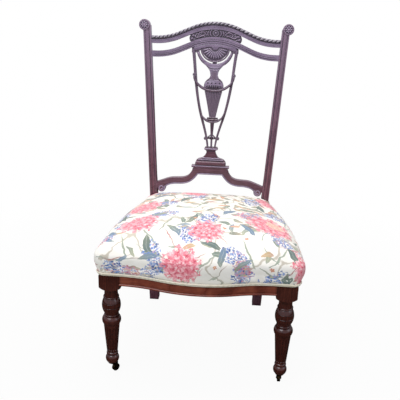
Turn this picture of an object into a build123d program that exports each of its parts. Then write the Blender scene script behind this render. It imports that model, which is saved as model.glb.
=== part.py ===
"""Low nursing chair: carved mahogany frame, sprung and stuffed seat, two front castors.

Millimetres. +Z is up, the front faces -Y, and right is +X, as seen by someone facing the chair.
The origin lies on the floor under the middle of the chair's box.
"""

import math
import os

from build123d import *

os.makedirs("parts", exist_ok=True)

# Seat frame, heights from the floor and lengths back from the front of the leg blocks
FRONT_WIDTH = 480.0
LEG_BLOCK = 50.0
RAIL_BOTTOM = 262.5
SHOW_WOOD_TOP = 289.0
RAIL_TOP = 308.0
REBATE = 4.0
FRONT_BOW = 27.8
FRONT_BOW_EASE = 0.97
FRONT_RAIL_SET_BACK = 2.8
FRONT_RAIL_INNER = 28.0
FRONT_BEAD = 6.0
SIDE_RAIL_SET_IN = 2.0
SIDE_RAIL_THICKNESS = 22.0
BACK_RAIL_SET_BACK = 6.0
BACK_RAIL_THICKNESS = 22.0
SEAT_DEPTH = 409.6

# Joints of the wooden frame
TENON_THICKNESS = 9.0
TENON_SHOULDER = 8.0
FRONT_TENON = 20.0
SIDE_TENON_FRONT = 22.0
SIDE_TENON_REAR = 11.0
BACK_TENON = 18.0
TENON_CLEARANCE = 0.15
GLUE_LINE = 0.1

# Back posts and their raked front plane
SEAT_LINE = 330.0
BACK_RAKE = 5.37
POST_INNER_AT_SEAT = 155.0
POST_SPLAY = 3.29
POST_WIDTH = 21.0
POST_DEPTH = 22.0
POST_BLOCK_WIDTH = 33.0
POST_BLOCK_DEPTH = 36.0
POST_BLOCK_BOTTOM = 255.0
SHOULDER_TOP = 350.0
REAR_FOOT_WIDTH = 28.0
REAR_FOOT_DEPTH = 28.0
REAR_FOOT_INNER = 150.0
REAR_FOOT_SET_BACK = 8.0
POST_BEND_RADIUS = 90.0
REED_RADIUS = 5.0
REED_STAND = 1.3
REED_GROOVE = 1.6
SCROLL_RADIUS = 15.0
SCROLL_RISE = 516.0
SCROLL_OUT = 201.9
SCROLL_STAND = 2.0
SCROLL_EYE_RADIUS = 4.0
SCROLL_EYE_STAND = 1.5

# Crest rail, middle rail and the tablet between them
CREST_OVER_SCROLL = 14.5
CREST_RISE = 43.0
CREST_EASE = 0.81
CREST_HEIGHT = 21.0
CREST_DEPTH = 20.0
RAIL_FRONT_SET_BACK = 1.0
RAIL_LEVEL_END = 12.0
ROPE_DIAMETER = 9.0
MID_UNDER_CREST = 40.9
MID_HEIGHT = 17.2
MID_DEPTH = 18.0
MID_GROOVE = 1.6
MID_GROOVE_UP = 5.0
BACK_TENON_LENGTH = 12.0
BACK_TENON_THICKNESS = 8.0
BACK_TENON_SHOULDER = 3.5
TENON_LAP = 1.0
TABLET_HALF = 70.0
TABLET_DEPTH = 12.0
TABLET_SET_BACK = 4.0
TABLET_END_BULGE = 4.0
TABLET_BOSS_RADIUS = 9.0
TABLET_BOSS_STAND = 2.5

# Pierced splat: heights over the pedestal, which stretch with the room under the middle rail
SPLAT_SHOULDER_DROP = 34.3
SPLAT_SET_BACK = 5.0
SPLAT_THICKNESS = 9.0
SPLAT_TONGUE_HALF = 30.0
SPLAT_TONGUE = 6.0
SPLAT_TONGUE_THICKNESS = 4.0
SPLAT_HALF_TOP = 66.0
STRIP_WIDTH_TOP = 9.0
STRIP_WIDTH_LOW = 4.4
STRIP_LINE = ((61.5, 254.5), (57.4, 224.5), (50.4, 165.5), (37.5, 99.5), (21.7, 49.0), (14.5, 22.5))
STRIP_FOOT_OUT = 10.7
SPLAT_FOOT_GAP = 0.5
PLATE_BOTTOM = 245.5
SHELL_HALF = 40.0
SHELL_TOP = 254.5
SHELL_BOTTOM = 224.5
SHELL_LINK_HALF = 6.0
SLOT_END_WIDTH = 5.0
SLOT_END_DROP = 4.0
SLOT_TIP_DROP = 1.5
SLOT_SWELL = 0.62
BOW_HALF = 52.0
BOW_TOP = 248.5
BOW_INNER_LOW = 219.0
BOW_OUTER_LOW = 208.5
LID_TOP_HALF = 18.0
LID_NECK_HALF = 10.5
LID_NECK_HEIGHT = 188.5
LID_RING_HALF = 15.5
LID_RING_HEIGHT = 180.5
URN_SHOULDER_HALF = 28.0
URN_SHOULDER_HEIGHT = 160.5
URN_FOOT_HALF = 8.6
URN_FOOT_HEIGHT = 79.0
URN_STAND = 4.0
URN_LIP_IN = 2.5
URN_LIP_DROP = 7.0
URN_DOME_IN = 4.0
URN_DOME_RISE = 12.5
URN_LAP = 1.0
LID_LAP = 2.0
SWAG_WIDTH = 6.4
SWAG_STAND = 6.0
SWAG_BACK = 3.0
UPPER_SWAG_HALF = 50.5
UPPER_SWAG_TOP = 174.5
UPPER_SWAG_LOW = 152.5
LOWER_SWAG_HALF = 34.0
LOWER_SWAG_TOP = 91.5
LOWER_SWAG_LOW = 71.0
DISC_HALF = 15.7
DISC_HEIGHT = 7.6
DISC_BOTTOM = 70.5
DISC_ROUNDING = 3.0
STEM_HALF_TOP = 6.0
STEM_HALF_LOW = 2.6
STEM_KNOT_HEIGHT = 24.0
STEM_KNOT_RADIUS = 5.0
CURL_RADIUS = 5.2
CURL_PLACE = (56.4, 189.5)
SMALL_CURL_RADIUS = 4.0
SMALL_CURL_PLACE = (18.6, 23.5)

# Pedestal under the splat, and the lower back rail with its arms' heights over the plinth's foot
PEDESTAL_DEPTH = 20.0
PEDESTAL_CAP_HALF = 20.2
PEDESTAL_CAP_HEIGHT = 10.4
PEDESTAL_NECK_HALF = 12.7
PEDESTAL_FLARE_HALF = 24.0
PEDESTAL_NECK_RISE = 21.8
PEDESTAL_NECK_SWELL = 2.6
PEDESTAL_STEP_HALF = 36.5
PEDESTAL_STEP_RISE = 3.8
PEDESTAL_BASE_HALF = 44.8
PEDESTAL_BASE_RISE = 19.3
PEDESTAL_BASE_SWELL = (1.5, 7.0)
PEDESTAL_CAP_LIP = 3.0
PLINTH_CAP_HALF = 55.5
PLINTH_RISE = 26.4
PLINTH_CAP_HEIGHT = 5.4
PLINTH_CAP_STAND = 2.0
PLINTH_HALF = 52.0
LOW_RAIL_RISE = 96.3
PLINTH_BOTTOM_HALF = 36.5
LOW_RAIL_DEPTH = 20.0
ARM_TOP_LINE = ((52.0, 17.0), (56.5, 4.5), (65.5, -6.0), (80.0, -11.5), (117.0, -14.8), (136.0, -21.0))
ARM_LOW_LINE = (
    (36.5, 0.0), (47.0, -14.0), (61.0, -25.0), (79.0, -30.5), (104.0, -32.0), (121.5, -36.0), (134.0, -44.0),
)
ARM_END_DROP = 29.5
ARM_SCROLL_RADIUS = 11.5
ARM_SCROLL_PLACE = (143.0, -46.2)
ARM_SCROLL_STAND = 1.5

# Turned front legs, heights from the floor
FOOT_BOTTOM = 31.5
FOOT_BASE_RADIUS = 11.2
FOOT_RADIUS = 17.2
FOOT_HEIGHT = 45.0
FOOT_LOW_SWELL = (1.6, 1.0)
FOOT_TOP_SWELL = (1.2, 5.5)
ANKLE_RADIUS = 12.6
ANKLE_HEIGHT = 55.5
ANKLE_RING_RADIUS = 14.8
ANKLE_RING_TOP = 64.0
TAPER_LOW_RADIUS = 13.8
TAPER_LOW = 66.0
TAPER_TOP_RADIUS = 20.4
TAPER_TOP = 149.5
COLLAR_STEP = 1.6
COLLAR_RADIUS = 23.7
COLLAR_TOP_RADIUS = 19.6
COLLAR_TOP = 168.5
COLLAR_SLOPE = 1.5
VASE_NECK_RADIUS = 17.0
VASE_BEAD_RADIUS = 18.6
VASE_BEAD_HEIGHT = 4.4
VASE_BOTTOM = 176.5
VASE_RADIUS = 23.5
VASE_TOP = 220.1
VASE_BELLY_LIFT = 3.0
VASE_LINES = (208.0, 196.0)
INCISED_RADIUS = 1.0
NECK_RING_RADIUS = 19.6
NECK_RING_TOP = 224.7
NECK_RADIUS = 17.8
NECK_TOP = 244.8
NECK_HOLLOW = 1.2
NECK_LAP = 1.0
BLOCK_OGEE_TOP = 258.8
BLOCK_REACH = 0.72
OGEE_SWELL = (0.62, 0.38)
FLUTES = 16
FLUTE_RADIUS = 2.3
FLUTE_DEPTH = 1.7
FLUTE_END_GAP = 12.0

# Corner blocks and their screws
CORNER_BLOCK_BOTTOM = 269.0
CORNER_BLOCK_HEIGHT = 30.0
CORNER_REACH = 42.0
CORNER_CLEARANCE = 0.2
SCREW_SHANK = 4.0
SCREW_HEAD = 7.6
SCREW_HEAD_HEIGHT = 2.0
SCREW_LENGTH = 26.0
SCREW_SEAT = 12.0
SCREW_CLEARANCE = 0.1

# Webbing, tacks and dust cover under the seat
STRAP_WIDTH = 50.0
STRAP_THICKNESS = 1.6
STRAP_CLEARANCE = 0.3
STRAP_END_LAP = 18.0
LONG_STRAPS_X = (-90.0, 0.0, 90.0)
CROSS_STRAPS_BACK = (112.0, 213.0, 314.0)
TACK_HEAD = 7.0
TACK_HEAD_HEIGHT = 0.7
TACK_SHANK = 1.8
TACK_LENGTH = 12.0
TACK_CLEARANCE = 0.1
TACK_SPREAD = 15.0
DUST_COVER_THICKNESS = 0.8
DUST_COVER_GAP = 0.3
DUST_COVER_MARGIN = 6.0
DUST_TACKS = 4

# Springs and the layers of the seat
SPRING_WIRE = 3.5
SPRING_RADIUS = 30.0
SPRING_HEIGHT = 74.0
SPRING_TURNS = 5
SOFT_GAP = 0.3
HESSIAN_THICKNESS = 1.0
HESSIAN_TOP_MARGIN = 8.0
HESSIAN_LAP = 12.0
COVER_THICKNESS = 2.0
WADDING_THICKNESS = 5.0
HAIR_THICKNESS = 14.0
COVER_SET_IN = 1.5
FOOT_DROP = 1.0
SEAT_CORNER_RADIUS = 14.0
PIPING_DIAMETER = 3.8
PIPING_GAP = 0.45

# Height of the seat's contours at the front and at the back, and how far each is drawn in
SEAT_CONTOURS = (
    (0.0, 289.5, 289.5),
    (-8.0, 303.0, 303.0),
    (-15.0, 322.0, 325.0),
    (-14.0, 340.0, 342.5),
    (-2.0, 354.0, 355.0),
    (24.0, 367.0, 365.5),
    (64.0, 380.0, 377.5),
    (115.0, 391.0, 388.0),
)
SEAT_BELLY = -min(inset for inset, _, _ in SEAT_CONTOURS)

# Castors, heights from the floor
CASTOR_TRAIL = 10.0
CASTOR_TURN = {"left": 50.0, "right": 90.0}
WHEEL_RADIUS = 10.0
WHEEL_WIDTH = 8.0
WHEEL_SIDE_GAP = 0.4
AXLE_DIAMETER = 3.0
AXLE_FIT = 0.06
AXLE_HEAD = 5.0
AXLE_HEAD_HEIGHT = 0.7
PRONG_THICKNESS = 1.8
BRIDGE_HEIGHT = 3.2
PLATE_THICKNESS = 1.8
PLATE_RADIUS = 11.0
PIVOT_DIAMETER = 4.6
PIVOT_FIT = 0.08
PIVOT_LENGTH = 20.0
PIVOT_HEAD = 7.0
PIVOT_HEAD_HEIGHT = 0.9
CASTOR_GAP = 0.3
PLATE_SCREWS = 3
PLATE_SCREW_SHANK = 1.6
PLATE_SCREW_HEAD = 3.0
PLATE_SCREW_HEAD_HEIGHT = 0.6
PLATE_SCREW_LENGTH = 9.0
PLATE_SCREW_CIRCLE = 7.4

# Places worked out from the sizes above
RAKE_SIN = math.sin(math.radians(BACK_RAKE))
RAKE_COS = math.cos(math.radians(BACK_RAKE))
SPLAY_TAN = math.tan(math.radians(POST_SPLAY))
HALF_FRONT = FRONT_WIDTH / 2
SCROLL_HEIGHT = SEAT_LINE + SCROLL_RISE
CREST_TOP = SCROLL_HEIGHT + CREST_OVER_SCROLL
MID_TOP = CREST_TOP - MID_UNDER_CREST
PLINTH_BOTTOM = SEAT_LINE + LOW_RAIL_RISE
PLINTH_CAP_TOP = PLINTH_BOTTOM + PLINTH_RISE
PEDESTAL_STEP_HEIGHT = PLINTH_CAP_TOP + PEDESTAL_BASE_RISE
PEDESTAL_FLARE_HEIGHT = PEDESTAL_STEP_HEIGHT + PEDESTAL_STEP_RISE
PEDESTAL_CAP_TOP = PEDESTAL_FLARE_HEIGHT + PEDESTAL_NECK_RISE + PEDESTAL_CAP_HEIGHT
BOW_FRONT = FRONT_RAIL_SET_BACK - FRONT_BOW
DEEPEST_BACK = (
    SEAT_DEPTH
    + ((SCROLL_HEIGHT - SEAT_LINE) / RAKE_COS + SCROLL_RADIUS) * RAKE_SIN
    + POST_DEPTH * RAKE_COS
)
FURTHEST_FRONT = BOW_FRONT + COVER_SET_IN - SEAT_BELLY
FRONT_Y = -(DEEPEST_BACK + FURTHEST_FRONT) / 2
BACK_Y = FRONT_Y + SEAT_DEPTH
LEG_X = HALF_FRONT - LEG_BLOCK / 2
LEG_Y = FRONT_Y + LEG_BLOCK / 2
BACK = Plane(origin=(0, BACK_Y, SEAT_LINE), x_dir=(1, 0, 0), z_dir=(0, -RAKE_COS, RAKE_SIN))


def save(builder, label):
    """Names a finished piece and writes it to its own file."""
    builder.part.label = label
    export_step(builder.part, f"parts/{label}.step")


def back_at(depth):
    """Plane of the chair back, the given depth behind the front of the posts."""
    return BACK.offset(-depth)


def up(height):
    """Distance up the raked back of a point at this height on its front plane."""
    return (height - SEAT_LINE) / RAKE_COS


def on_back(place):
    """Point of the back's plane from a distance out and a height."""
    return (place[0], up(place[1]))


def on_splat(place):
    """Point of the splat from a distance out and a drawn height over the pedestal."""
    stretch = (MID_TOP - SPLAT_SHOULDER_DROP - PEDESTAL_CAP_TOP) / STRIP_LINE[0][1]
    return on_back((place[0], PEDESTAL_CAP_TOP + place[1] * stretch))


def on_low_rail(place):
    """Point of the lower back rail from a distance out and a height over the plinth's foot."""
    return on_back((place[0], PLINTH_BOTTOM + place[1]))


def post_inner(distance_up):
    """Inner edge of the right post, this far up the raked back."""
    return POST_INNER_AT_SEAT + distance_up * SPLAY_TAN


def rail_end(distance_up):
    """Right end of a back rail: the post leans, so its inner face comes in behind the front plane."""
    lean = CREST_DEPTH * RAKE_SIN * SPLAY_TAN
    return post_inner(distance_up) - lean - GLUE_LINE


def serpentine_points(span, rise, ease):
    """Half of a serpentine from its crown to its level end: ends and middles of its two arcs."""
    slope = ease * 2 * math.atan2(rise, span)
    radius = (span * math.sin(slope) - rise * math.cos(slope)) / (1 - math.cos(slope)) / 2
    crown_end = (radius * math.sin(slope), radius * (1 - math.cos(slope)))
    hollow_start = (span - crown_end[0], rise - crown_end[1])
    hollow_middle = (span - radius * math.sin(slope / 2), rise - radius * (1 - math.cos(slope / 2)))
    return crown_end, hollow_start, hollow_middle


def add_serpentine(span, rise, ease, crown, fall):
    """Adds a whole serpentine to the line being drawn; fall is -1 below its crown and +1 above."""
    crown_end, hollow_start, hollow_middle = serpentine_points(span, rise, ease)
    ThreePointArc(
        (-crown_end[0], crown + fall * crown_end[1]),
        (0, crown),
        (crown_end[0], crown + fall * crown_end[1]),
    )
    for side in (-1, 1):
        Line(
            (side * crown_end[0], crown + fall * crown_end[1]),
            (side * hollow_start[0], crown + fall * hollow_start[1]),
        )
        ThreePointArc(
            (side * hollow_start[0], crown + fall * hollow_start[1]),
            (side * hollow_middle[0], crown + fall * hollow_middle[1]),
            (side * span, crown + fall * rise),
        )


def serpentine_drop(span, rise, ease, out):
    """How far a serpentine has fallen from its crown at this distance out."""
    crown_end, hollow_start, _ = serpentine_points(span, rise, ease)
    radius = (crown_end[0] ** 2 + crown_end[1] ** 2) / (2 * crown_end[1])
    if out <= crown_end[0]:
        return radius - math.sqrt(radius**2 - out**2)
    if out <= hollow_start[0]:
        share = (out - crown_end[0]) / (hollow_start[0] - crown_end[0])
        return crown_end[1] + share * (hollow_start[1] - crown_end[1])
    return rise - radius + math.sqrt(radius**2 - (span - out) ** 2)


# Back posts with their rear legs
post_block_outer = POST_INNER_AT_SEAT + POST_BLOCK_WIDTH
post_top = up(SCROLL_HEIGHT)
rear_foot_front = BACK_Y + REAR_FOOT_SET_BACK


def rear_tenon_y():
    """Middle of the back seat rail, where its tenons enter the posts."""
    return BACK_Y + BACK_RAIL_SET_BACK + BACK_RAIL_THICKNESS / 2


def side_rail_x(depth_back):
    """Outer face of the right side rail, this far back from the front of the leg blocks."""
    front = HALF_FRONT - SIDE_RAIL_SET_IN
    rear = post_block_outer - SIDE_RAIL_SET_IN
    share = (depth_back - LEG_BLOCK) / (SEAT_DEPTH - LEG_BLOCK)
    return front + share * (rear - front)


side_slope = (side_rail_x(SEAT_DEPTH) - side_rail_x(LEG_BLOCK)) / (SEAT_DEPTH - LEG_BLOCK)


def side_strip(outer, inner, start, end):
    """Corners of a strip of the right side rail between two depths, in plan."""
    return (
        (side_rail_x(start) - outer, FRONT_Y + start),
        (side_rail_x(end) - outer, FRONT_Y + end),
        (side_rail_x(end) - inner, FRONT_Y + end),
        (side_rail_x(start) - inner, FRONT_Y + start),
    )


def back_tenon_outline(top, bottom, clearance):
    """Corners of a tenon at the right end of a back rail, on the back's plane."""
    low = bottom + BACK_TENON_SHOULDER - clearance
    high = top - BACK_TENON_SHOULDER + clearance
    return (
        (post_inner(low) - TENON_LAP, low),
        (post_inner(low) + BACK_TENON_LENGTH + clearance, low),
        (post_inner(low) + BACK_TENON_LENGTH + clearance, high),
        (post_inner(low) - TENON_LAP, high),
    )


crest_end_top = up(CREST_TOP) - CREST_RISE
mid_end_top = up(MID_TOP) - CREST_RISE
RAIL_ENDS = {
    "crest": (crest_end_top, crest_end_top - CREST_HEIGHT),
    "mid": (mid_end_top, mid_end_top - MID_HEIGHT),
    "low": (up(PLINTH_BOTTOM - ARM_END_DROP), up(PLINTH_BOTTOM + ARM_SCROLL_PLACE[1])),
}
tenon_front = RAIL_FRONT_SET_BACK + (MID_DEPTH - BACK_TENON_THICKNESS) / 2

with BuildPart() as right_back_post:
    with BuildSketch(Plane.YZ) as side_view:
        with BuildLine():
            top_front = BACK.from_local_coords((0, post_top, 0))
            top_rear = BACK.from_local_coords((0, post_top, -POST_DEPTH))
            bend_rear = BACK.from_local_coords((0, POST_BEND_RADIUS, -POST_DEPTH))
            Polyline(
                (rear_foot_front, 0),
                (BACK_Y, POST_BLOCK_BOTTOM),
                (BACK_Y, SEAT_LINE),
                (top_front.Y, top_front.Z),
                (top_rear.Y, top_rear.Z),
                (bend_rear.Y, bend_rear.Z),
                (BACK_Y + POST_BLOCK_DEPTH, RAIL_TOP),
                (BACK_Y + POST_BLOCK_DEPTH, POST_BLOCK_BOTTOM),
                (rear_foot_front + REAR_FOOT_DEPTH, 0),
                close=True,
            )
        make_face()
    extrude(amount=FRONT_WIDTH)
    with BuildSketch(Plane.XZ) as front_view:
        with BuildLine():
            shoulder_inner = post_inner(up(SHOULDER_TOP))
            top_inner = post_inner(post_top)
            Polyline(
                (REAR_FOOT_INNER, 0),
                (POST_INNER_AT_SEAT, POST_BLOCK_BOTTOM),
                (POST_INNER_AT_SEAT, SEAT_LINE),
                (top_inner, SCROLL_HEIGHT),
                (top_inner + POST_WIDTH, SCROLL_HEIGHT),
                (shoulder_inner + POST_WIDTH, SHOULDER_TOP),
                (post_block_outer, SEAT_LINE),
                (post_block_outer, POST_BLOCK_BOTTOM),
                (REAR_FOOT_INNER + REAR_FOOT_WIDTH, 0),
                close=True,
            )
        make_face()
    extrude(amount=DEEPEST_BACK * 2, both=True, mode=Mode.INTERSECT)
    # Two grooves and a standing reed run up the front of the post
    reed_low = up(SHOULDER_TOP)
    reed_high = post_top - SCROLL_RADIUS / 2
    reed_side = REED_RADIUS + REED_GROOVE / 2
    for offset in (-reed_side, reed_side):
        with BuildSketch(BACK) as groove:
            with BuildLine():
                low_x = post_inner(reed_low) + POST_WIDTH / 2 + offset
                high_x = post_inner(reed_high) + POST_WIDTH / 2 + offset
                Polyline(
                    (low_x - REED_GROOVE / 2, reed_low),
                    (low_x + REED_GROOVE / 2, reed_low),
                    (high_x + REED_GROOVE / 2, reed_high),
                    (high_x - REED_GROOVE / 2, reed_high),
                    close=True,
                )
            make_face()
        extrude(amount=-REED_GROOVE, mode=Mode.SUBTRACT)
    reed_depth = REED_RADIUS - REED_STAND
    reed_start = BACK.from_local_coords((post_inner(reed_low) + POST_WIDTH / 2, reed_low, -reed_depth))
    reed_end = BACK.from_local_coords((post_inner(reed_high) + POST_WIDTH / 2, reed_high, -reed_depth))
    with BuildSketch(Plane(origin=reed_start, z_dir=reed_end - reed_start)):
        Circle(REED_RADIUS)
    extrude(amount=(reed_end - reed_start).length)
    # The scroll rolls outwards at the top
    with BuildSketch(BACK.offset(SCROLL_STAND)):
        with Locations((SCROLL_OUT, post_top)):
            Circle(SCROLL_RADIUS)
    extrude(amount=-(POST_DEPTH + SCROLL_STAND))
    with BuildSketch(BACK.offset(SCROLL_STAND)):
        with Locations((SCROLL_OUT, post_top)):
            Circle(SCROLL_EYE_RADIUS)
    extrude(amount=SCROLL_EYE_STAND)
    # Mortises for the three back rails, the back seat rail and the side rail
    for top, bottom in RAIL_ENDS.values():
        with BuildSketch(back_at(tenon_front - TENON_CLEARANCE)):
            with BuildLine():
                Polyline(*back_tenon_outline(top, bottom, TENON_CLEARANCE), close=True)
            make_face()
        extrude(amount=-(BACK_TENON_THICKNESS + 2 * TENON_CLEARANCE), mode=Mode.SUBTRACT)
    mortise_low = RAIL_BOTTOM + TENON_SHOULDER - TENON_CLEARANCE
    mortise_high = RAIL_TOP - TENON_SHOULDER + TENON_CLEARANCE
    with BuildSketch(Plane.XY.offset(mortise_low)):
        with Locations((POST_INNER_AT_SEAT, rear_tenon_y())):
            Rectangle(2 * (BACK_TENON + TENON_CLEARANCE), TENON_THICKNESS + 2 * TENON_CLEARANCE)
    extrude(amount=mortise_high - mortise_low, mode=Mode.SUBTRACT)
    with BuildSketch(Plane.XY.offset(mortise_low)):
        with BuildLine():
            tenon_outer = (SIDE_RAIL_THICKNESS - TENON_THICKNESS) / 2 - TENON_CLEARANCE
            tenon_inner = (SIDE_RAIL_THICKNESS + TENON_THICKNESS) / 2 + TENON_CLEARANCE
            tenon_end = SEAT_DEPTH + SIDE_TENON_REAR + TENON_CLEARANCE
            Polyline(*side_strip(tenon_outer, tenon_inner, SEAT_DEPTH - 1.0, tenon_end), close=True)
        make_face()
    extrude(amount=mortise_high - mortise_low, mode=Mode.SUBTRACT)
save(right_back_post, "right_back_post")

with BuildPart() as left_back_post:
    mirror(right_back_post.part, about=Plane.YZ)
save(left_back_post, "left_back_post")


def add_back_rail_outline(top, height, rise):
    """Outline of an arched back rail between the splayed posts."""
    span = post_inner(top - rise - height) - RAIL_LEVEL_END
    add_serpentine(span, rise, CREST_EASE, top, -1)
    add_serpentine(span, rise, CREST_EASE, top - height, -1)
    for side in (-1, 1):
        high = top - rise
        low = high - height
        Polyline(
            (side * span, high),
            (side * rail_end(high), high),
            (side * rail_end(low), low),
            (side * span, low),
        )


def add_back_tenons(top, bottom):
    """Tenons at both ends of a back rail."""
    for side in (-1, 1):
        with BuildSketch(back_at(tenon_front)) as tenon:
            with BuildLine():
                corners = back_tenon_outline(top, bottom, 0.0)
                Polyline(*[(side * x, y) for x, y in corners], close=True)
            make_face()
        extrude(tenon.sketch, amount=-BACK_TENON_THICKNESS)


def back_rail_span(top, height):
    """Length of half the serpentine of an arched back rail."""
    return post_inner(top - CREST_RISE - height) - RAIL_LEVEL_END


crest_span = back_rail_span(up(CREST_TOP), CREST_HEIGHT)
mid_span = back_rail_span(up(MID_TOP), MID_HEIGHT)

with BuildPart() as crest_rail:
    with BuildSketch(back_at(RAIL_FRONT_SET_BACK)):
        with BuildLine():
            add_back_rail_outline(up(CREST_TOP), CREST_HEIGHT, CREST_RISE)
        make_face()
    extrude(amount=-CREST_DEPTH)
    # A round bead stands along the upper edge, where the rope twist is carved
    with BuildLine(back_at(RAIL_FRONT_SET_BACK)) as rope_line:
        add_serpentine(crest_span, CREST_RISE, CREST_EASE, up(CREST_TOP) - ROPE_DIAMETER / 2, -1)
    rope_end_up = crest_end_top - ROPE_DIAMETER / 2
    rope_start = BACK.from_local_coords((-crest_span, rope_end_up, -RAIL_FRONT_SET_BACK))
    with BuildSketch(Plane(origin=rope_start, x_dir=(0, 1, 0), z_dir=(1, 0, 0))):
        Circle(ROPE_DIAMETER / 2)
    sweep(path=rope_line.wire())
    add_back_tenons(*RAIL_ENDS["crest"])
save(crest_rail, "crest_rail")

with BuildPart() as mid_back_rail:
    with BuildSketch(back_at(RAIL_FRONT_SET_BACK)):
        with BuildLine():
            add_back_rail_outline(up(MID_TOP), MID_HEIGHT, CREST_RISE)
        make_face()
    extrude(amount=-MID_DEPTH)
    # A scratched groove follows the lower edge
    groove_up = up(MID_TOP) - MID_HEIGHT + MID_GROOVE_UP
    with BuildLine(back_at(RAIL_FRONT_SET_BACK)) as groove_line:
        add_serpentine(mid_span, CREST_RISE, CREST_EASE, groove_up, -1)
    groove_start = BACK.from_local_coords((-mid_span, groove_up - CREST_RISE, -RAIL_FRONT_SET_BACK))
    with BuildSketch(Plane(origin=groove_start, x_dir=(0, 1, 0), z_dir=(1, 0, 0))):
        Circle(MID_GROOVE / 2)
    sweep(path=groove_line.wire(), mode=Mode.SUBTRACT)
    add_back_tenons(*RAIL_ENDS["mid"])
    # Mortise for the splat's tongue
    tongue_front = SPLAT_SET_BACK + (SPLAT_THICKNESS - SPLAT_TONGUE_THICKNESS) / 2
    with BuildSketch(back_at(tongue_front - TENON_CLEARANCE)):
        with Locations((0, up(MID_TOP) - MID_HEIGHT)):
            Rectangle(2 * (SPLAT_TONGUE_HALF + TENON_CLEARANCE), 2 * (SPLAT_TONGUE + TENON_CLEARANCE))
    extrude(amount=-(SPLAT_TONGUE_THICKNESS + 2 * TENON_CLEARANCE), mode=Mode.SUBTRACT)
save(mid_back_rail, "mid_back_rail")


def rail_edge(top, span, out):
    """Place up the back of a serpentine edge with this crown, at a distance out."""
    return top - serpentine_drop(span, CREST_RISE, CREST_EASE, out)


with BuildPart() as carved_tablet:
    with BuildSketch(back_at(TABLET_SET_BACK)):
        with BuildLine():
            tablet_top = up(CREST_TOP) - CREST_HEIGHT - GLUE_LINE
            tablet_bottom = up(MID_TOP) + GLUE_LINE
            ends = []
            for crown, span in ((tablet_top, crest_span), (tablet_bottom, mid_span)):
                side_up = rail_edge(crown, span, TABLET_HALF)
                ThreePointArc((-TABLET_HALF, side_up), (0, crown), (TABLET_HALF, side_up))
                ends.append(side_up)
            for side in (-1, 1):
                bulge = (side * (TABLET_HALF + TABLET_END_BULGE), (ends[0] + ends[1]) / 2)
                ThreePointArc((side * TABLET_HALF, ends[0]), bulge, (side * TABLET_HALF, ends[1]))
        make_face()
    extrude(amount=-TABLET_DEPTH)
    with BuildSketch(back_at(TABLET_SET_BACK)):
        with Locations((0, (tablet_top + tablet_bottom) / 2)):
            Circle(TABLET_BOSS_RADIUS)
    extrude(amount=TABLET_BOSS_STAND)
save(carved_tablet, "carved_tablet")


def add_strip(side):
    """Outline of one side strip of the splat, narrowing towards the pedestal."""
    points = [on_splat(place) for place in STRIP_LINE] + [on_splat((STRIP_FOOT_OUT, SPLAT_FOOT_GAP))]
    last = len(points) - 1
    outer = []
    inner = []
    for number, (out, height) in enumerate(points):
        half = (STRIP_WIDTH_TOP + (STRIP_WIDTH_LOW - STRIP_WIDTH_TOP) * number / last) / 2
        outer.append((side * (out + half), height))
        inner.append((side * (out - half), height))
    Spline(*outer)
    Spline(*inner)
    Line(outer[0], inner[0])
    Line(outer[-1], inner[-1])


def add_swag(half, top, low):
    """Outline of a hanging band that crosses the urn."""
    high = on_splat((0, top))[1]
    sag = on_splat((0, low))[1]
    ThreePointArc((-half, high), (0, sag), (half, high))
    ThreePointArc((-half, high - SWAG_WIDTH), (0, sag - SWAG_WIDTH), (half, high - SWAG_WIDTH))
    for side in (-1, 1):
        Line((side * half, high), (side * half, high - SWAG_WIDTH))


mid_under = up(MID_TOP) - MID_HEIGHT - GLUE_LINE

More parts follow.
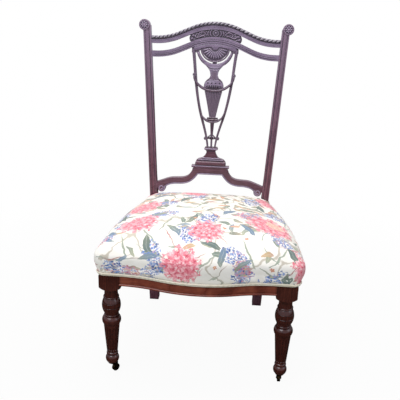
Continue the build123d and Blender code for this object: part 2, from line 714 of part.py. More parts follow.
with BuildPart() as back_splat:
    # The board with its plate, shell, bow, strips, curls and stem
    with BuildSketch(back_at(SPLAT_SET_BACK)):
        with BuildLine():
            plate_side = rail_edge(mid_under, mid_span, SPLAT_HALF_TOP)
            ThreePointArc((-SPLAT_HALF_TOP, plate_side), (0, mid_under), (SPLAT_HALF_TOP, plate_side))
            Polyline(
                (-SPLAT_HALF_TOP, plate_side),
                on_splat((-SPLAT_HALF_TOP, PLATE_BOTTOM)),
                on_splat((SPLAT_HALF_TOP, PLATE_BOTTOM)),
                (SPLAT_HALF_TOP, plate_side),
            )
        make_face()
        for side in (-1, 1):
            with BuildLine():
                add_strip(side)
            make_face()
        with BuildLine():
            left_bow = on_splat((-BOW_HALF, BOW_TOP))
            right_bow = on_splat((BOW_HALF, BOW_TOP))
            ThreePointArc(left_bow, on_splat((0, BOW_OUTER_LOW)), right_bow)
            Line(left_bow, right_bow)
        make_face()
        # The crescent slot between the shell and the bow
        for side in (-1, 1):
            with BuildLine():
                inner = SHELL_LINK_HALF
                slot_low = (BOW_TOP + 2 * BOW_INNER_LOW) / 3 + SLOT_TIP_DROP
                ThreePointArc(
                    on_splat((side * (SHELL_HALF + SLOT_END_WIDTH), SHELL_TOP - SLOT_END_DROP)),
                    on_splat((side * SLOT_SWELL * BOW_HALF, slot_low)),
                    on_splat((side * inner, BOW_INNER_LOW)),
                )
                ThreePointArc(
                    on_splat((side * SHELL_HALF, SHELL_TOP - SLOT_TIP_DROP)),
                    on_splat((side * SLOT_SWELL * SHELL_HALF, (SHELL_TOP + 2 * SHELL_BOTTOM) / 3)),
                    on_splat((side * inner, SHELL_BOTTOM)),
                )
                Line(
                    on_splat((side * (SHELL_HALF + SLOT_END_WIDTH), SHELL_TOP - SLOT_END_DROP)),
                    on_splat((side * SHELL_HALF, SHELL_TOP - SLOT_TIP_DROP)),
                )
                Line(on_splat((side * inner, BOW_INNER_LOW)), on_splat((side * inner, SHELL_BOTTOM)))
            make_face(mode=Mode.SUBTRACT)
        for side in (-1, 1):
            with Locations(on_splat((side * CURL_PLACE[0], CURL_PLACE[1]))):
                Circle(CURL_RADIUS)
            with Locations(on_splat((side * SMALL_CURL_PLACE[0], SMALL_CURL_PLACE[1]))):
                Circle(SMALL_CURL_RADIUS)
        with BuildLine():
            Polyline(
                on_splat((-STEM_HALF_TOP, DISC_BOTTOM + URN_LAP)),
                on_splat((-STEM_HALF_LOW, STEM_KNOT_HEIGHT)),
                on_splat((-STEM_HALF_LOW, SPLAT_FOOT_GAP)),
                on_splat((STEM_HALF_LOW, SPLAT_FOOT_GAP)),
                on_splat((STEM_HALF_LOW, STEM_KNOT_HEIGHT)),
                on_splat((STEM_HALF_TOP, DISC_BOTTOM + URN_LAP)),
                close=True,
            )
        make_face()
        # A low bridge ties the two strips to the stem at the knot
        with Locations(on_splat((0, STEM_KNOT_HEIGHT))):
            Circle(STEM_KNOT_RADIUS)
            Rectangle(2 * SMALL_CURL_PLACE[0], STRIP_WIDTH_LOW)
    extrude(amount=-SPLAT_THICKNESS)
    # The urn stands forward of the board
    with BuildSketch(back_at(SPLAT_SET_BACK - URN_STAND)):
        with BuildLine():
            Polyline(
                on_splat((-URN_FOOT_HALF, URN_FOOT_HEIGHT)),
                on_splat((URN_FOOT_HALF, URN_FOOT_HEIGHT)),
                on_splat((URN_SHOULDER_HALF - URN_LIP_IN, URN_SHOULDER_HEIGHT - URN_LIP_DROP)),
                on_splat((URN_SHOULDER_HALF, URN_SHOULDER_HEIGHT)),
            )
            dome_half = URN_SHOULDER_HALF - URN_DOME_IN
            for side in (-1, 1):
                ThreePointArc(
                    on_splat((side * URN_SHOULDER_HALF, URN_SHOULDER_HEIGHT)),
                    on_splat((side * dome_half, URN_SHOULDER_HEIGHT + URN_DOME_RISE)),
                    on_splat((side * LID_RING_HALF, LID_RING_HEIGHT)),
                )
            Polyline(
                on_splat((-URN_SHOULDER_HALF, URN_SHOULDER_HEIGHT)),
                on_splat((-URN_SHOULDER_HALF + URN_LIP_IN, URN_SHOULDER_HEIGHT - URN_LIP_DROP)),
                on_splat((-URN_FOOT_HALF, URN_FOOT_HEIGHT)),
            )
            Line(on_splat((-LID_RING_HALF, LID_RING_HEIGHT)), on_splat((LID_RING_HALF, LID_RING_HEIGHT)))
        make_face()
        with BuildLine():
            for side in (-1, 1):
                ThreePointArc(
                    on_splat((side * LID_RING_HALF, LID_RING_HEIGHT - URN_LAP)),
                    on_splat((side * LID_NECK_HALF, LID_NECK_HEIGHT)),
                    on_splat((side * LID_TOP_HALF, BOW_OUTER_LOW + LID_LAP)),
                )
            lid_foot = (LID_RING_HALF, LID_RING_HEIGHT - URN_LAP)
            lid_head = (LID_TOP_HALF, BOW_OUTER_LOW + LID_LAP)
            for half, height in (lid_foot, lid_head):
                Line(on_splat((-half, height)), on_splat((half, height)))
        make_face()
        with Locations(on_splat((0, DISC_BOTTOM + DISC_HEIGHT / 2))):
            Rectangle(2 * DISC_HALF, DISC_HEIGHT + DISC_ROUNDING)
    extrude(amount=-(SPLAT_THICKNESS + URN_STAND))
    # Swags hang across the front of the urn
    with BuildSketch(back_at(SPLAT_SET_BACK - SWAG_STAND)):
        with BuildLine():
            add_swag(UPPER_SWAG_HALF, UPPER_SWAG_TOP, UPPER_SWAG_LOW)
        make_face()
        with BuildLine():
            add_swag(LOWER_SWAG_HALF, LOWER_SWAG_TOP, LOWER_SWAG_LOW)
        make_face()
    extrude(amount=-(SPLAT_THICKNESS + SWAG_STAND - SWAG_BACK))
    # The tongue that enters the middle rail
    with BuildSketch(back_at(tongue_front)):
        with Locations((0, up(MID_TOP) - MID_HEIGHT)):
            Rectangle(2 * SPLAT_TONGUE_HALF, 2 * SPLAT_TONGUE)
    extrude(amount=-SPLAT_TONGUE_THICKNESS)
save(back_splat, "back_splat")

with BuildPart() as splat_pedestal:
    with BuildSketch(back_at(RAIL_FRONT_SET_BACK)):
        cap_low = PEDESTAL_CAP_TOP - PEDESTAL_CAP_HEIGHT
        with BuildLine():
            base_up = up(PLINTH_CAP_TOP) + GLUE_LINE
            neck_middle = (PEDESTAL_FLARE_HEIGHT + cap_low) / 2
            for side in (-1, 1):
                ThreePointArc(
                    (side * PEDESTAL_BASE_HALF, base_up),
                    on_back((
                        side * (PEDESTAL_BASE_HALF - PEDESTAL_BASE_SWELL[0]),
                        PEDESTAL_STEP_HEIGHT - PEDESTAL_BASE_SWELL[1],
                    )),
                    on_back((side * PEDESTAL_STEP_HALF, PEDESTAL_STEP_HEIGHT)),
                )
                Line(
                    on_back((side * PEDESTAL_STEP_HALF, PEDESTAL_STEP_HEIGHT)),
                    on_back((side * PEDESTAL_FLARE_HALF, PEDESTAL_FLARE_HEIGHT)),
                )
                ThreePointArc(
                    on_back((side * PEDESTAL_FLARE_HALF, PEDESTAL_FLARE_HEIGHT)),
                    on_back((side * (PEDESTAL_NECK_HALF + PEDESTAL_NECK_SWELL), neck_middle)),
                    on_back((side * PEDESTAL_NECK_HALF, cap_low)),
                )
                Polyline(
                    on_back((side * PEDESTAL_NECK_HALF, cap_low)),
                    on_back((side * PEDESTAL_CAP_HALF, PEDESTAL_CAP_TOP - PEDESTAL_CAP_HEIGHT / 2)),
                    on_back((side * (PEDESTAL_CAP_HALF - PEDESTAL_CAP_LIP), PEDESTAL_CAP_TOP)),
                    on_back((0, PEDESTAL_CAP_TOP)),
                )
            Line((-PEDESTAL_BASE_HALF, base_up), (PEDESTAL_BASE_HALF, base_up))
        make_face()
    extrude(amount=-PEDESTAL_DEPTH)
save(splat_pedestal, "splat_pedestal")

with BuildPart() as lower_back_rail:
    with BuildSketch(back_at(RAIL_FRONT_SET_BACK)):
        with BuildLine():
            cap_middle = up(PLINTH_CAP_TOP) - PLINTH_CAP_HEIGHT / 2
            Polyline(
                (-PLINTH_HALF, cap_middle),
                on_back((-PLINTH_BOTTOM_HALF, PLINTH_BOTTOM)),
                on_back((PLINTH_BOTTOM_HALF, PLINTH_BOTTOM)),
                (PLINTH_HALF, cap_middle),
                close=True,
            )
        make_face()
        for side in (-1, 1):
            with BuildLine():
                top_line = [on_low_rail((side * out, height)) for out, height in ARM_TOP_LINE]
                low_line = [on_low_rail((side * out, height)) for out, height in ARM_LOW_LINE]
                end_up = RAIL_ENDS["low"][0]
                low_up = RAIL_ENDS["low"][1]
                Spline(*top_line, (side * rail_end(end_up), end_up))
                Line((side * rail_end(end_up), end_up), (side * rail_end(low_up), low_up))
                Spline(*low_line)
                Line(low_line[-1], (side * rail_end(low_up), low_up))
                plinth_core = on_low_rail((0, (ARM_TOP_LINE[0][1] + ARM_LOW_LINE[0][1]) / 2))
                Polyline(top_line[0], plinth_core, low_line[0])
            make_face()
    extrude(amount=-LOW_RAIL_DEPTH)
    with BuildSketch(back_at(RAIL_FRONT_SET_BACK - PLINTH_CAP_STAND)):
        with Locations((0, cap_middle)):
            Rectangle(2 * PLINTH_CAP_HALF, PLINTH_CAP_HEIGHT)
    extrude(amount=-(LOW_RAIL_DEPTH + PLINTH_CAP_STAND))
    # The arms end in small scrolls against the posts
    for side in (-1, 1):
        with BuildSketch(back_at(RAIL_FRONT_SET_BACK - ARM_SCROLL_STAND)):
            with Locations(on_low_rail((side * ARM_SCROLL_PLACE[0], ARM_SCROLL_PLACE[1]))):
                Circle(ARM_SCROLL_RADIUS)
        extrude(amount=-(LOW_RAIL_DEPTH + ARM_SCROLL_STAND))
    add_back_tenons(*RAIL_ENDS["low"])
save(lower_back_rail, "lower_back_rail")

# Turned front legs with their square blocks
leg_side = Plane(origin=(LEG_X, LEG_Y, 0), x_dir=(1, 0, 0), z_dir=(0, -1, 0))
taper_angle = math.atan2(TAPER_TOP_RADIUS - TAPER_LOW_RADIUS, TAPER_TOP - TAPER_LOW)
plate_top = FOOT_BOTTOM
plate_bottom = plate_top - PLATE_THICKNESS
screw_angles = [360 * number / PLATE_SCREWS + 30 for number in range(PLATE_SCREWS)]


def taper_radius(height):
    """Radius of the tapered leg at this height."""
    return TAPER_LOW_RADIUS + (height - TAPER_LOW) * math.tan(taper_angle)


with BuildPart() as flute_cutter:
    flute_low = TAPER_LOW + FLUTE_END_GAP / 2
    flute_high = TAPER_TOP - FLUTE_END_GAP
    flute_out = FLUTE_RADIUS - FLUTE_DEPTH
    low_point = Vector(LEG_X + taper_radius(flute_low) + flute_out, LEG_Y, flute_low)
    high_point = Vector(LEG_X + taper_radius(flute_high) + flute_out, LEG_Y, flute_high)
    with BuildSketch(Plane(origin=low_point, z_dir=high_point - low_point)):
        Circle(FLUTE_RADIUS)
    extrude(amount=(high_point - low_point).length)
    with Locations(low_point, high_point):
        Sphere(FLUTE_RADIUS)

with BuildPart() as right_front_leg:
    with BuildSketch(Plane.XY.offset(NECK_TOP)):
        with Locations((LEG_X, LEG_Y)):
            Rectangle(LEG_BLOCK, LEG_BLOCK)
    extrude(amount=RAIL_TOP - NECK_TOP)
    # The lower corners of the block are turned to a lamb's tongue
    with BuildSketch(leg_side):
        with BuildLine():
            corner = LEG_BLOCK * BLOCK_REACH
            ogee_out = NECK_RADIUS + (corner - NECK_RADIUS) * OGEE_SWELL[0]
            ogee_up = NECK_TOP + (BLOCK_OGEE_TOP - NECK_TOP) * OGEE_SWELL[1]
            ThreePointArc((NECK_RADIUS, NECK_TOP), (ogee_out, ogee_up), (corner, BLOCK_OGEE_TOP))
            Polyline(
                (corner, BLOCK_OGEE_TOP),
                (corner, RAIL_TOP),
                (0, RAIL_TOP),
                (0, NECK_TOP),
                (NECK_RADIUS, NECK_TOP),
            )
        make_face()
    revolve(axis=Axis((LEG_X, LEG_Y, 0), (0, 0, 1)), mode=Mode.INTERSECT)
    with BuildSketch(leg_side):
        with BuildLine():
            Line((0, FOOT_BOTTOM), (FOOT_BASE_RADIUS, FOOT_BOTTOM))
            ThreePointArc(
                (FOOT_BASE_RADIUS, FOOT_BOTTOM),
                (FOOT_RADIUS - FOOT_LOW_SWELL[0], (FOOT_BOTTOM + FOOT_HEIGHT) / 2 - FOOT_LOW_SWELL[1]),
                (FOOT_RADIUS, FOOT_HEIGHT),
            )
            ThreePointArc(
                (FOOT_RADIUS, FOOT_HEIGHT),
                (FOOT_RADIUS - FOOT_TOP_SWELL[0], FOOT_HEIGHT + FOOT_TOP_SWELL[1]),
                (ANKLE_RADIUS, ANKLE_HEIGHT),
            )
            ring_middle = (ANKLE_HEIGHT + ANKLE_RING_TOP) / 2
            ThreePointArc(
                (ANKLE_RADIUS, ANKLE_HEIGHT),
                (ANKLE_RING_RADIUS, ring_middle),
                (ANKLE_RADIUS, ANKLE_RING_TOP),
            )
            collar_low = TAPER_TOP_RADIUS + COLLAR_STEP
            Polyline(
                (ANKLE_RADIUS, ANKLE_RING_TOP),
                (TAPER_LOW_RADIUS, TAPER_LOW),
                (TAPER_TOP_RADIUS, TAPER_TOP),
                (collar_low, TAPER_TOP),
            )
            ThreePointArc(
                (collar_low, TAPER_TOP),
                (COLLAR_RADIUS, (TAPER_TOP + COLLAR_TOP) / 2),
                (COLLAR_TOP_RADIUS, COLLAR_TOP),
            )
            bead_low = COLLAR_TOP + COLLAR_SLOPE
            bead_high = bead_low + VASE_BEAD_HEIGHT
            Line((COLLAR_TOP_RADIUS, COLLAR_TOP), (VASE_NECK_RADIUS, bead_low))
            ThreePointArc(
                (VASE_NECK_RADIUS, bead_low),
                (VASE_BEAD_RADIUS, (bead_low + bead_high) / 2),
                (VASE_NECK_RADIUS, bead_high),
            )
            Line((VASE_NECK_RADIUS, bead_high), (VASE_NECK_RADIUS, VASE_BOTTOM))
            vase_line = ThreePointArc(
                (VASE_NECK_RADIUS, VASE_BOTTOM),
                (VASE_RADIUS, (VASE_BOTTOM + VASE_TOP) / 2 + VASE_BELLY_LIFT),
                (NECK_RADIUS, VASE_TOP),
            )
            ThreePointArc(
                (NECK_RADIUS, VASE_TOP),
                (NECK_RING_RADIUS, (VASE_TOP + NECK_RING_TOP) / 2),
                (NECK_RADIUS, NECK_RING_TOP),
            )
            ThreePointArc(
                (NECK_RADIUS, NECK_RING_TOP),
                (NECK_RADIUS - NECK_HOLLOW, (NECK_RING_TOP + NECK_TOP) / 2),
                (NECK_RADIUS, NECK_TOP),
            )
            Polyline(
                (NECK_RADIUS, NECK_TOP),
                (NECK_RADIUS, NECK_TOP + NECK_LAP),
                (0, NECK_TOP + NECK_LAP),
                (0, FOOT_BOTTOM),
            )
        make_face()
    revolve(axis=Axis((LEG_X, LEG_Y, 0), (0, 0, 1)))
    # Lines incised round the vase
    with BuildSketch(leg_side):
        for height in VASE_LINES:
            rise = height - vase_line.arc_center.Y
            with Locations((vase_line.arc_center.X + math.sqrt(vase_line.radius**2 - rise**2), height)):
                Circle(INCISED_RADIUS)
    revolve(axis=Axis((LEG_X, LEG_Y, 0), (0, 0, 1)), mode=Mode.SUBTRACT)
    for number in range(FLUTES):
        flute = flute_cutter.part.rotate(Axis((LEG_X, LEG_Y, 0), (0, 0, 1)), 360 * number / FLUTES)
        add(flute, mode=Mode.SUBTRACT)
    # Rebate for the cover on the front and outer faces of the block
    rebate_front = FRONT_Y + FRONT_RAIL_SET_BACK + REBATE
    rebate_side = HALF_FRONT - SIDE_RAIL_SET_IN - REBATE
    with BuildSketch(Plane.XY.offset(SHOW_WOOD_TOP)):
        with Locations((LEG_X, LEG_Y)):
            Rectangle(LEG_BLOCK, LEG_BLOCK)
        with BuildLine():
            inset = SEAT_CORNER_RADIUS * (1 - math.sqrt(0.5))
            ThreePointArc(
                (rebate_side - SEAT_CORNER_RADIUS, rebate_front),
                (rebate_side - inset, rebate_front + inset),
                (rebate_side, rebate_front + SEAT_CORNER_RADIUS),
            )
            Polyline(
                (rebate_side, rebate_front + SEAT_CORNER_RADIUS),
                (rebate_side, FRONT_Y + LEG_BLOCK + 1.0),
                (HALF_FRONT - LEG_BLOCK - 1.0, FRONT_Y + LEG_BLOCK + 1.0),
                (HALF_FRONT - LEG_BLOCK - 1.0, rebate_front),
                (rebate_side - SEAT_CORNER_RADIUS, rebate_front),
            )
        make_face(mode=Mode.SUBTRACT)
    extrude(amount=RAIL_TOP - SHOW_WOOD_TOP, mode=Mode.SUBTRACT)
    # Mortises for the front rail and the side rail
    front_tenon_y = FRONT_Y + (FRONT_RAIL_SET_BACK + REBATE + FRONT_RAIL_INNER) / 2
    with BuildSketch(Plane.XY.offset(mortise_low)):
        with Locations((HALF_FRONT - LEG_BLOCK, front_tenon_y)):
            Rectangle(2 * (FRONT_TENON + TENON_CLEARANCE), TENON_THICKNESS + 2 * TENON_CLEARANCE)
        with BuildLine():
            tenon_start = LEG_BLOCK - SIDE_TENON_FRONT - TENON_CLEARANCE
            Polyline(*side_strip(tenon_outer, tenon_inner, tenon_start, LEG_BLOCK + 1.0), close=True)
        make_face()
    extrude(amount=mortise_high - mortise_low, mode=Mode.SUBTRACT)
    # Bores for the castor's pivot and plate screws
    with BuildSketch(Plane.XY.offset(FOOT_BOTTOM)):
        with Locations((LEG_X, LEG_Y)):
            Circle(PIVOT_DIAMETER / 2 + PIVOT_FIT)
    extrude(amount=PIVOT_LENGTH + SOFT_GAP, mode=Mode.SUBTRACT)
    with BuildSketch(Plane.XY.offset(FOOT_BOTTOM)):
        for angle in screw_angles:
            out = Vector(PLATE_SCREW_CIRCLE, 0).rotate(Axis.Z, angle)
            with Locations((LEG_X + out.X, LEG_Y + out.Y)):
                Circle(PLATE_SCREW_SHANK / 2 + SCREW_CLEARANCE)
    extrude(amount=PLATE_SCREW_LENGTH, mode=Mode.SUBTRACT)
save(right_front_leg, "right_front_leg")

with BuildPart() as left_front_leg:
    mirror(right_front_leg.part, about=Plane.YZ)
save(left_front_leg, "left_front_leg")

# Tacks that hold the webbing and the dust cover, and the holes they need in the rails
strap_middle = RAIL_BOTTOM - STRAP_THICKNESS / 2
strap_wave = (STRAP_THICKNESS + STRAP_CLEARANCE) / 2
tack_head_top = RAIL_BOTTOM - STRAP_THICKNESS
lowest_strap = strap_middle - strap_wave - STRAP_THICKNESS / 2
dust_top = min(lowest_strap, tack_head_top - TACK_HEAD_HEIGHT) - DUST_COVER_GAP
dust_bottom = dust_top - DUST_COVER_THICKNESS
front_tack_y = FRONT_Y + FRONT_RAIL_INNER - STRAP_END_LAP / 2
back_tack_y = BACK_Y + BACK_RAIL_SET_BACK + STRAP_END_LAP / 2


def side_tack_x(depth_back):
    """Place of a tack in the right side rail."""
    return side_rail_x(depth_back) - SIDE_RAIL_THICKNESS + STRAP_END_LAP / 2


WEBBING_TACKS = []
for strap_x in LONG_STRAPS_X:
    for shift in (-TACK_SPREAD, TACK_SPREAD):
        WEBBING_TACKS.append((strap_x + shift, front_tack_y))
        WEBBING_TACKS.append((strap_x + shift, back_tack_y))
for strap_back in CROSS_STRAPS_BACK:
    for shift in (-TACK_SPREAD, TACK_SPREAD):
        for side in (-1, 1):
            WEBBING_TACKS.append((side * side_tack_x(strap_back + shift), FRONT_Y + strap_back + shift))

DUST_COVER_TACKS = []
tack_gap = LONG_STRAPS_X[2] - LONG_STRAPS_X[1]
for number in range(DUST_TACKS):
    tack_x = (number - (DUST_TACKS - 1) / 2) * tack_gap
    DUST_COVER_TACKS.append((tack_x, front_tack_y))
    DUST_COVER_TACKS.append((tack_x, back_tack_y))
cross_gap = CROSS_STRAPS_BACK[1] - CROSS_STRAPS_BACK[0]
for number in range(DUST_TACKS):
    tack_back = CROSS_STRAPS_BACK[0] + (number - 0.5) * cross_gap
    for side in (-1, 1):
        DUST_COVER_TACKS.append((side * side_tack_x(tack_back), FRONT_Y + tack_back))


def cut_tack_holes():
    """Bores the tack holes up into the underside of a rail."""
    with BuildSketch(Plane.XY.offset(RAIL_BOTTOM - 1.0)) as holes:
        with Locations(*WEBBING_TACKS, *DUST_COVER_TACKS):
            Circle(TACK_SHANK / 2 + TACK_CLEARANCE)
    extrude(holes.sketch, amount=TACK_LENGTH + 1.0, mode=Mode.SUBTRACT)


# Screws through the corner blocks, as points with a direction
corner_middle = CORNER_BLOCK_BOTTOM + CORNER_BLOCK_HEIGHT / 2
leg_inner = HALF_FRONT - LEG_BLOCK
rail_inner_y = FRONT_Y + FRONT_RAIL_INNER
back_rail_front = BACK_Y + BACK_RAIL_SET_BACK
side_normal = Vector(1, -side_slope).normalized()


def side_inner_x(depth_back):
    """Inner face of the right side rail."""
    return side_rail_x(depth_back) - SIDE_RAIL_THICKNESS


front_side_reach = LEG_BLOCK + CORNER_REACH
rear_side_reach = SEAT_DEPTH - CORNER_REACH
FRONT_BLOCK_OUTLINE = (
    (leg_inner - CORNER_REACH, rail_inner_y + CORNER_CLEARANCE),
    (leg_inner - CORNER_CLEARANCE, rail_inner_y + CORNER_CLEARANCE),
    (leg_inner - CORNER_CLEARANCE, FRONT_Y + LEG_BLOCK + CORNER_CLEARANCE),
    (side_inner_x(LEG_BLOCK) - CORNER_CLEARANCE, FRONT_Y + LEG_BLOCK + CORNER_CLEARANCE),
    (side_inner_x(front_side_reach) - CORNER_CLEARANCE, FRONT_Y + front_side_reach),
    (leg_inner - CORNER_REACH, rail_inner_y + CORNER_REACH * 0.45),
)
REAR_BLOCK_OUTLINE = (
    (POST_INNER_AT_SEAT - CORNER_REACH, back_rail_front - CORNER_CLEARANCE),
    (POST_INNER_AT_SEAT - CORNER_CLEARANCE, back_rail_front - CORNER_CLEARANCE),
    (POST_INNER_AT_SEAT - CORNER_CLEARANCE, BACK_Y - CORNER_CLEARANCE),
    (side_inner_x(SEAT_DEPTH) - CORNER_CLEARANCE, BACK_Y - CORNER_CLEARANCE),
    (side_inner_x(rear_side_reach) - CORNER_CLEARANCE, FRONT_Y + rear_side_reach),
    (POST_INNER_AT_SEAT - CORNER_REACH, back_rail_front - CORNER_REACH * 0.45),
)
front_screw_x = leg_inner - CORNER_REACH / 2
rear_screw_x = POST_INNER_AT_SEAT - CORNER_REACH / 2
front_screw_back = LEG_BLOCK + CORNER_REACH / 2
rear_screw_back = SEAT_DEPTH - CORNER_REACH / 2


CORNER_SCREWS = {
    "front_rail": ((front_screw_x, rail_inner_y + SCREW_SEAT), (0, -1, 0)),
    "back_rail": ((rear_screw_x, back_rail_front - SCREW_SEAT), (0, 1, 0)),
    "front_side": (
        (side_inner_x(front_screw_back) - SCREW_SEAT, FRONT_Y + front_screw_back + side_slope * SCREW_SEAT),
        (side_normal.X, side_normal.Y, 0),
    ),
    "rear_side": (
        (side_inner_x(rear_screw_back) - SCREW_SEAT, FRONT_Y + rear_screw_back + side_slope * SCREW_SEAT),
        (side_normal.X, side_normal.Y, 0),
    ),
}


def corner_screw_plane(place, direction, side):
    """Plane at the seat of a corner block screw, facing the way it is driven."""
    origin = (side * place[0], place[1], corner_middle)
    return Plane(origin=origin, z_dir=(side * direction[0], direction[1], 0))


def cut_corner_screws(side, head_room):
    """Bores the corner screws' holes; head_room clears the way in for the driver."""
    for place, direction in CORNER_SCREWS.values():
        seat = corner_screw_plane(place, direction, side)
        with BuildSketch(seat) as shank:
            Circle(SCREW_SHANK / 2 + SCREW_CLEARANCE)
        extrude(shank.sketch, amount=SCREW_LENGTH + SCREW_CLEARANCE, mode=Mode.SUBTRACT)
        if head_room:
            with BuildSketch(seat) as recess:
                Circle(SCREW_HEAD / 2 + SCREW_CLEARANCE)
            extrude(recess.sketch, amount=-CORNER_REACH, mode=Mode.SUBTRACT)


# Seat rails
rail_span = HALF_FRONT - LEG_BLOCK


def add_front_rail_outline(set_back):
    """Plan of the front rail, its serpentine face set back from the show face."""
    ends = FRONT_Y + FRONT_RAIL_SET_BACK + set_back
    add_serpentine(rail_span, FRONT_BOW, FRONT_BOW_EASE, ends - FRONT_BOW, 1)
    Polyline(
        (-rail_span, ends),
        (-rail_span, rail_inner_y),
        (rail_span, rail_inner_y),
        (rail_span, ends),
    )


with BuildPart() as front_seat_rail:
    with BuildSketch(Plane.XY.offset(RAIL_BOTTOM)):
        with BuildLine():
            add_front_rail_outline(0.0)
        make_face()
    extrude(amount=SHOW_WOOD_TOP - RAIL_BOTTOM)
    with BuildSketch(Plane.XY.offset(SHOW_WOOD_TOP)):
        with BuildLine():
            add_front_rail_outline(REBATE)
        make_face()
    extrude(amount=RAIL_TOP - SHOW_WOOD_TOP)
    # A bead runs along the lower edge
    bead_height = RAIL_BOTTOM + FRONT_BEAD / 2
    with BuildLine(Plane.XY.offset(bead_height)) as bead_line:
        add_serpentine(rail_span, FRONT_BOW, FRONT_BOW_EASE, FRONT_Y + BOW_FRONT, 1)
    bead_start = (-rail_span, FRONT_Y + FRONT_RAIL_SET_BACK, bead_height)
    with BuildSketch(Plane(origin=bead_start, z_dir=(1, 0, 0))):
        Circle(FRONT_BEAD / 2)
    sweep(path=bead_line.wire())
    with BuildSketch(Plane.XY.offset(RAIL_BOTTOM + TENON_SHOULDER)):
        for side in (-1, 1):
            with Locations((side * (rail_span + FRONT_TENON / 2 - 1.0), front_tenon_y)):
                Rectangle(FRONT_TENON + 2.0, TENON_THICKNESS)
    extrude(amount=RAIL_TOP - RAIL_BOTTOM - 2 * TENON_SHOULDER)
    cut_tack_holes()
    for side in (-1, 1):
        cut_corner_screws(side, False)
save(front_seat_rail, "front_seat_rail")

with BuildPart() as right_side_rail:
    with BuildSketch(Plane.XY.offset(RAIL_BOTTOM)):
        with BuildLine():
            Polyline(*side_strip(0.0, SIDE_RAIL_THICKNESS, LEG_BLOCK, SEAT_DEPTH), close=True)
        make_face()
    extrude(amount=SHOW_WOOD_TOP - RAIL_BOTTOM)
    with BuildSketch(Plane.XY.offset(SHOW_WOOD_TOP)):
        with BuildLine():
            Polyline(*side_strip(REBATE, SIDE_RAIL_THICKNESS, LEG_BLOCK, SEAT_DEPTH), close=True)
        make_face()
    extrude(amount=RAIL_TOP - SHOW_WOOD_TOP)
    with BuildSketch(Plane.XY.offset(RAIL_BOTTOM + TENON_SHOULDER)):
        with BuildLine():
            outer = (SIDE_RAIL_THICKNESS - TENON_THICKNESS) / 2
            inner = (SIDE_RAIL_THICKNESS + TENON_THICKNESS) / 2
            start = LEG_BLOCK - SIDE_TENON_FRONT
            Polyline(*side_strip(outer, inner, start, SEAT_DEPTH + SIDE_TENON_REAR), close=True)
        make_face()
    extrude(amount=RAIL_TOP - RAIL_BOTTOM - 2 * TENON_SHOULDER)
    cut_tack_holes()
    cut_corner_screws(1, False)
save(right_side_rail, "right_side_rail")

with BuildPart() as left_side_rail:
    mirror(right_side_rail.part, about=Plane.YZ)
save(left_side_rail, "left_side_rail")

with BuildPart() as back_seat_rail:
    back_rail_middle = back_rail_front + BACK_RAIL_THICKNESS / 2
    with BuildSketch(Plane.XY.offset(RAIL_BOTTOM)):
        with Locations((0, back_rail_middle)):
            Rectangle(2 * POST_INNER_AT_SEAT, BACK_RAIL_THICKNESS)
    extrude(amount=SHOW_WOOD_TOP - RAIL_BOTTOM)
    with BuildSketch(Plane.XY.offset(SHOW_WOOD_TOP)):
        with Locations((0, back_rail_middle - REBATE / 2)):
            Rectangle(2 * POST_INNER_AT_SEAT, BACK_RAIL_THICKNESS - REBATE)
    extrude(amount=RAIL_TOP - SHOW_WOOD_TOP)
    with BuildSketch(Plane.XY.offset(RAIL_BOTTOM + TENON_SHOULDER)):
        with Locations((0, rear_tenon_y())):
            Rectangle(2 * (POST_INNER_AT_SEAT + BACK_TENON), TENON_THICKNESS)
    extrude(amount=RAIL_TOP - RAIL_BOTTOM - 2 * TENON_SHOULDER)
    cut_tack_holes()
    for side in (-1, 1):
        cut_corner_screws(side, False)
save(back_seat_rail, "back_seat_rail")

for end, outline in (("front", FRONT_BLOCK_OUTLINE), ("rear", REAR_BLOCK_OUTLINE)):
    for side_name, side in (("left", -1), ("right", 1)):
        with BuildPart() as corner_block:
            with BuildSketch(Plane.XY.offset(CORNER_BLOCK_BOTTOM)):
                with BuildLine():
                    Polyline(*[(side * x, y) for x, y in outline], close=True)
                make_face()
            extrude(amount=CORNER_BLOCK_HEIGHT)
            cut_corner_screws(side, True)
        save(corner_block, f"{side_name}_{end}_corner_block")

with BuildPart() as corner_block_screws:
    for side in (-1, 1):
        for place, direction in CORNER_SCREWS.values():
            seat = corner_screw_plane(place, direction, side)
            with BuildSketch(seat):
                Circle(SCREW_SHANK / 2)
            extrude(amount=SCREW_LENGTH)
            with BuildSketch(seat):
                Circle(SCREW_HEAD / 2)
            extrude(amount=-SCREW_HEAD_HEIGHT)
save(corner_block_screws, "corner_block_screws")

# Interlaced webbing under the rails
def strap_outline(start, start_rail, end_rail, end, crossings, first_up):
    """Side view of a strap that goes over and under the straps it crosses."""
    middle = [(start, strap_middle), (start_rail, strap_middle)]
    level = 1 if first_up else -1
    flat = STRAP_WIDTH / 2 + STRAP_CLEARANCE
    for place in crossings:
        middle.append((place - flat, strap_middle + level * strap_wave))
        middle.append((place + flat, strap_middle + level * strap_wave))
        level = -level
    middle += [(end_rail, strap_middle), (end, strap_middle)]
    upper = [(along, height + STRAP_THICKNESS / 2) for along, height in middle]
    lower = [(along, height - STRAP_THICKNESS / 2) for along, height in reversed(middle)]
    return upper + lower


def cut_strap_holes():
    """Clears the webbing's tacks through the straps."""
    with BuildSketch(Plane.XY.offset(lowest_strap - 1.0)) as holes:
        with Locations(*WEBBING_TACKS):
            Circle(TACK_SHANK / 2 + TACK_CLEARANCE)
    extrude(holes.sketch, amount=RAIL_BOTTOM - lowest_strap + 2.0, mode=Mode.SUBTRACT)


bend_gap = STRAP_END_LAP / 3

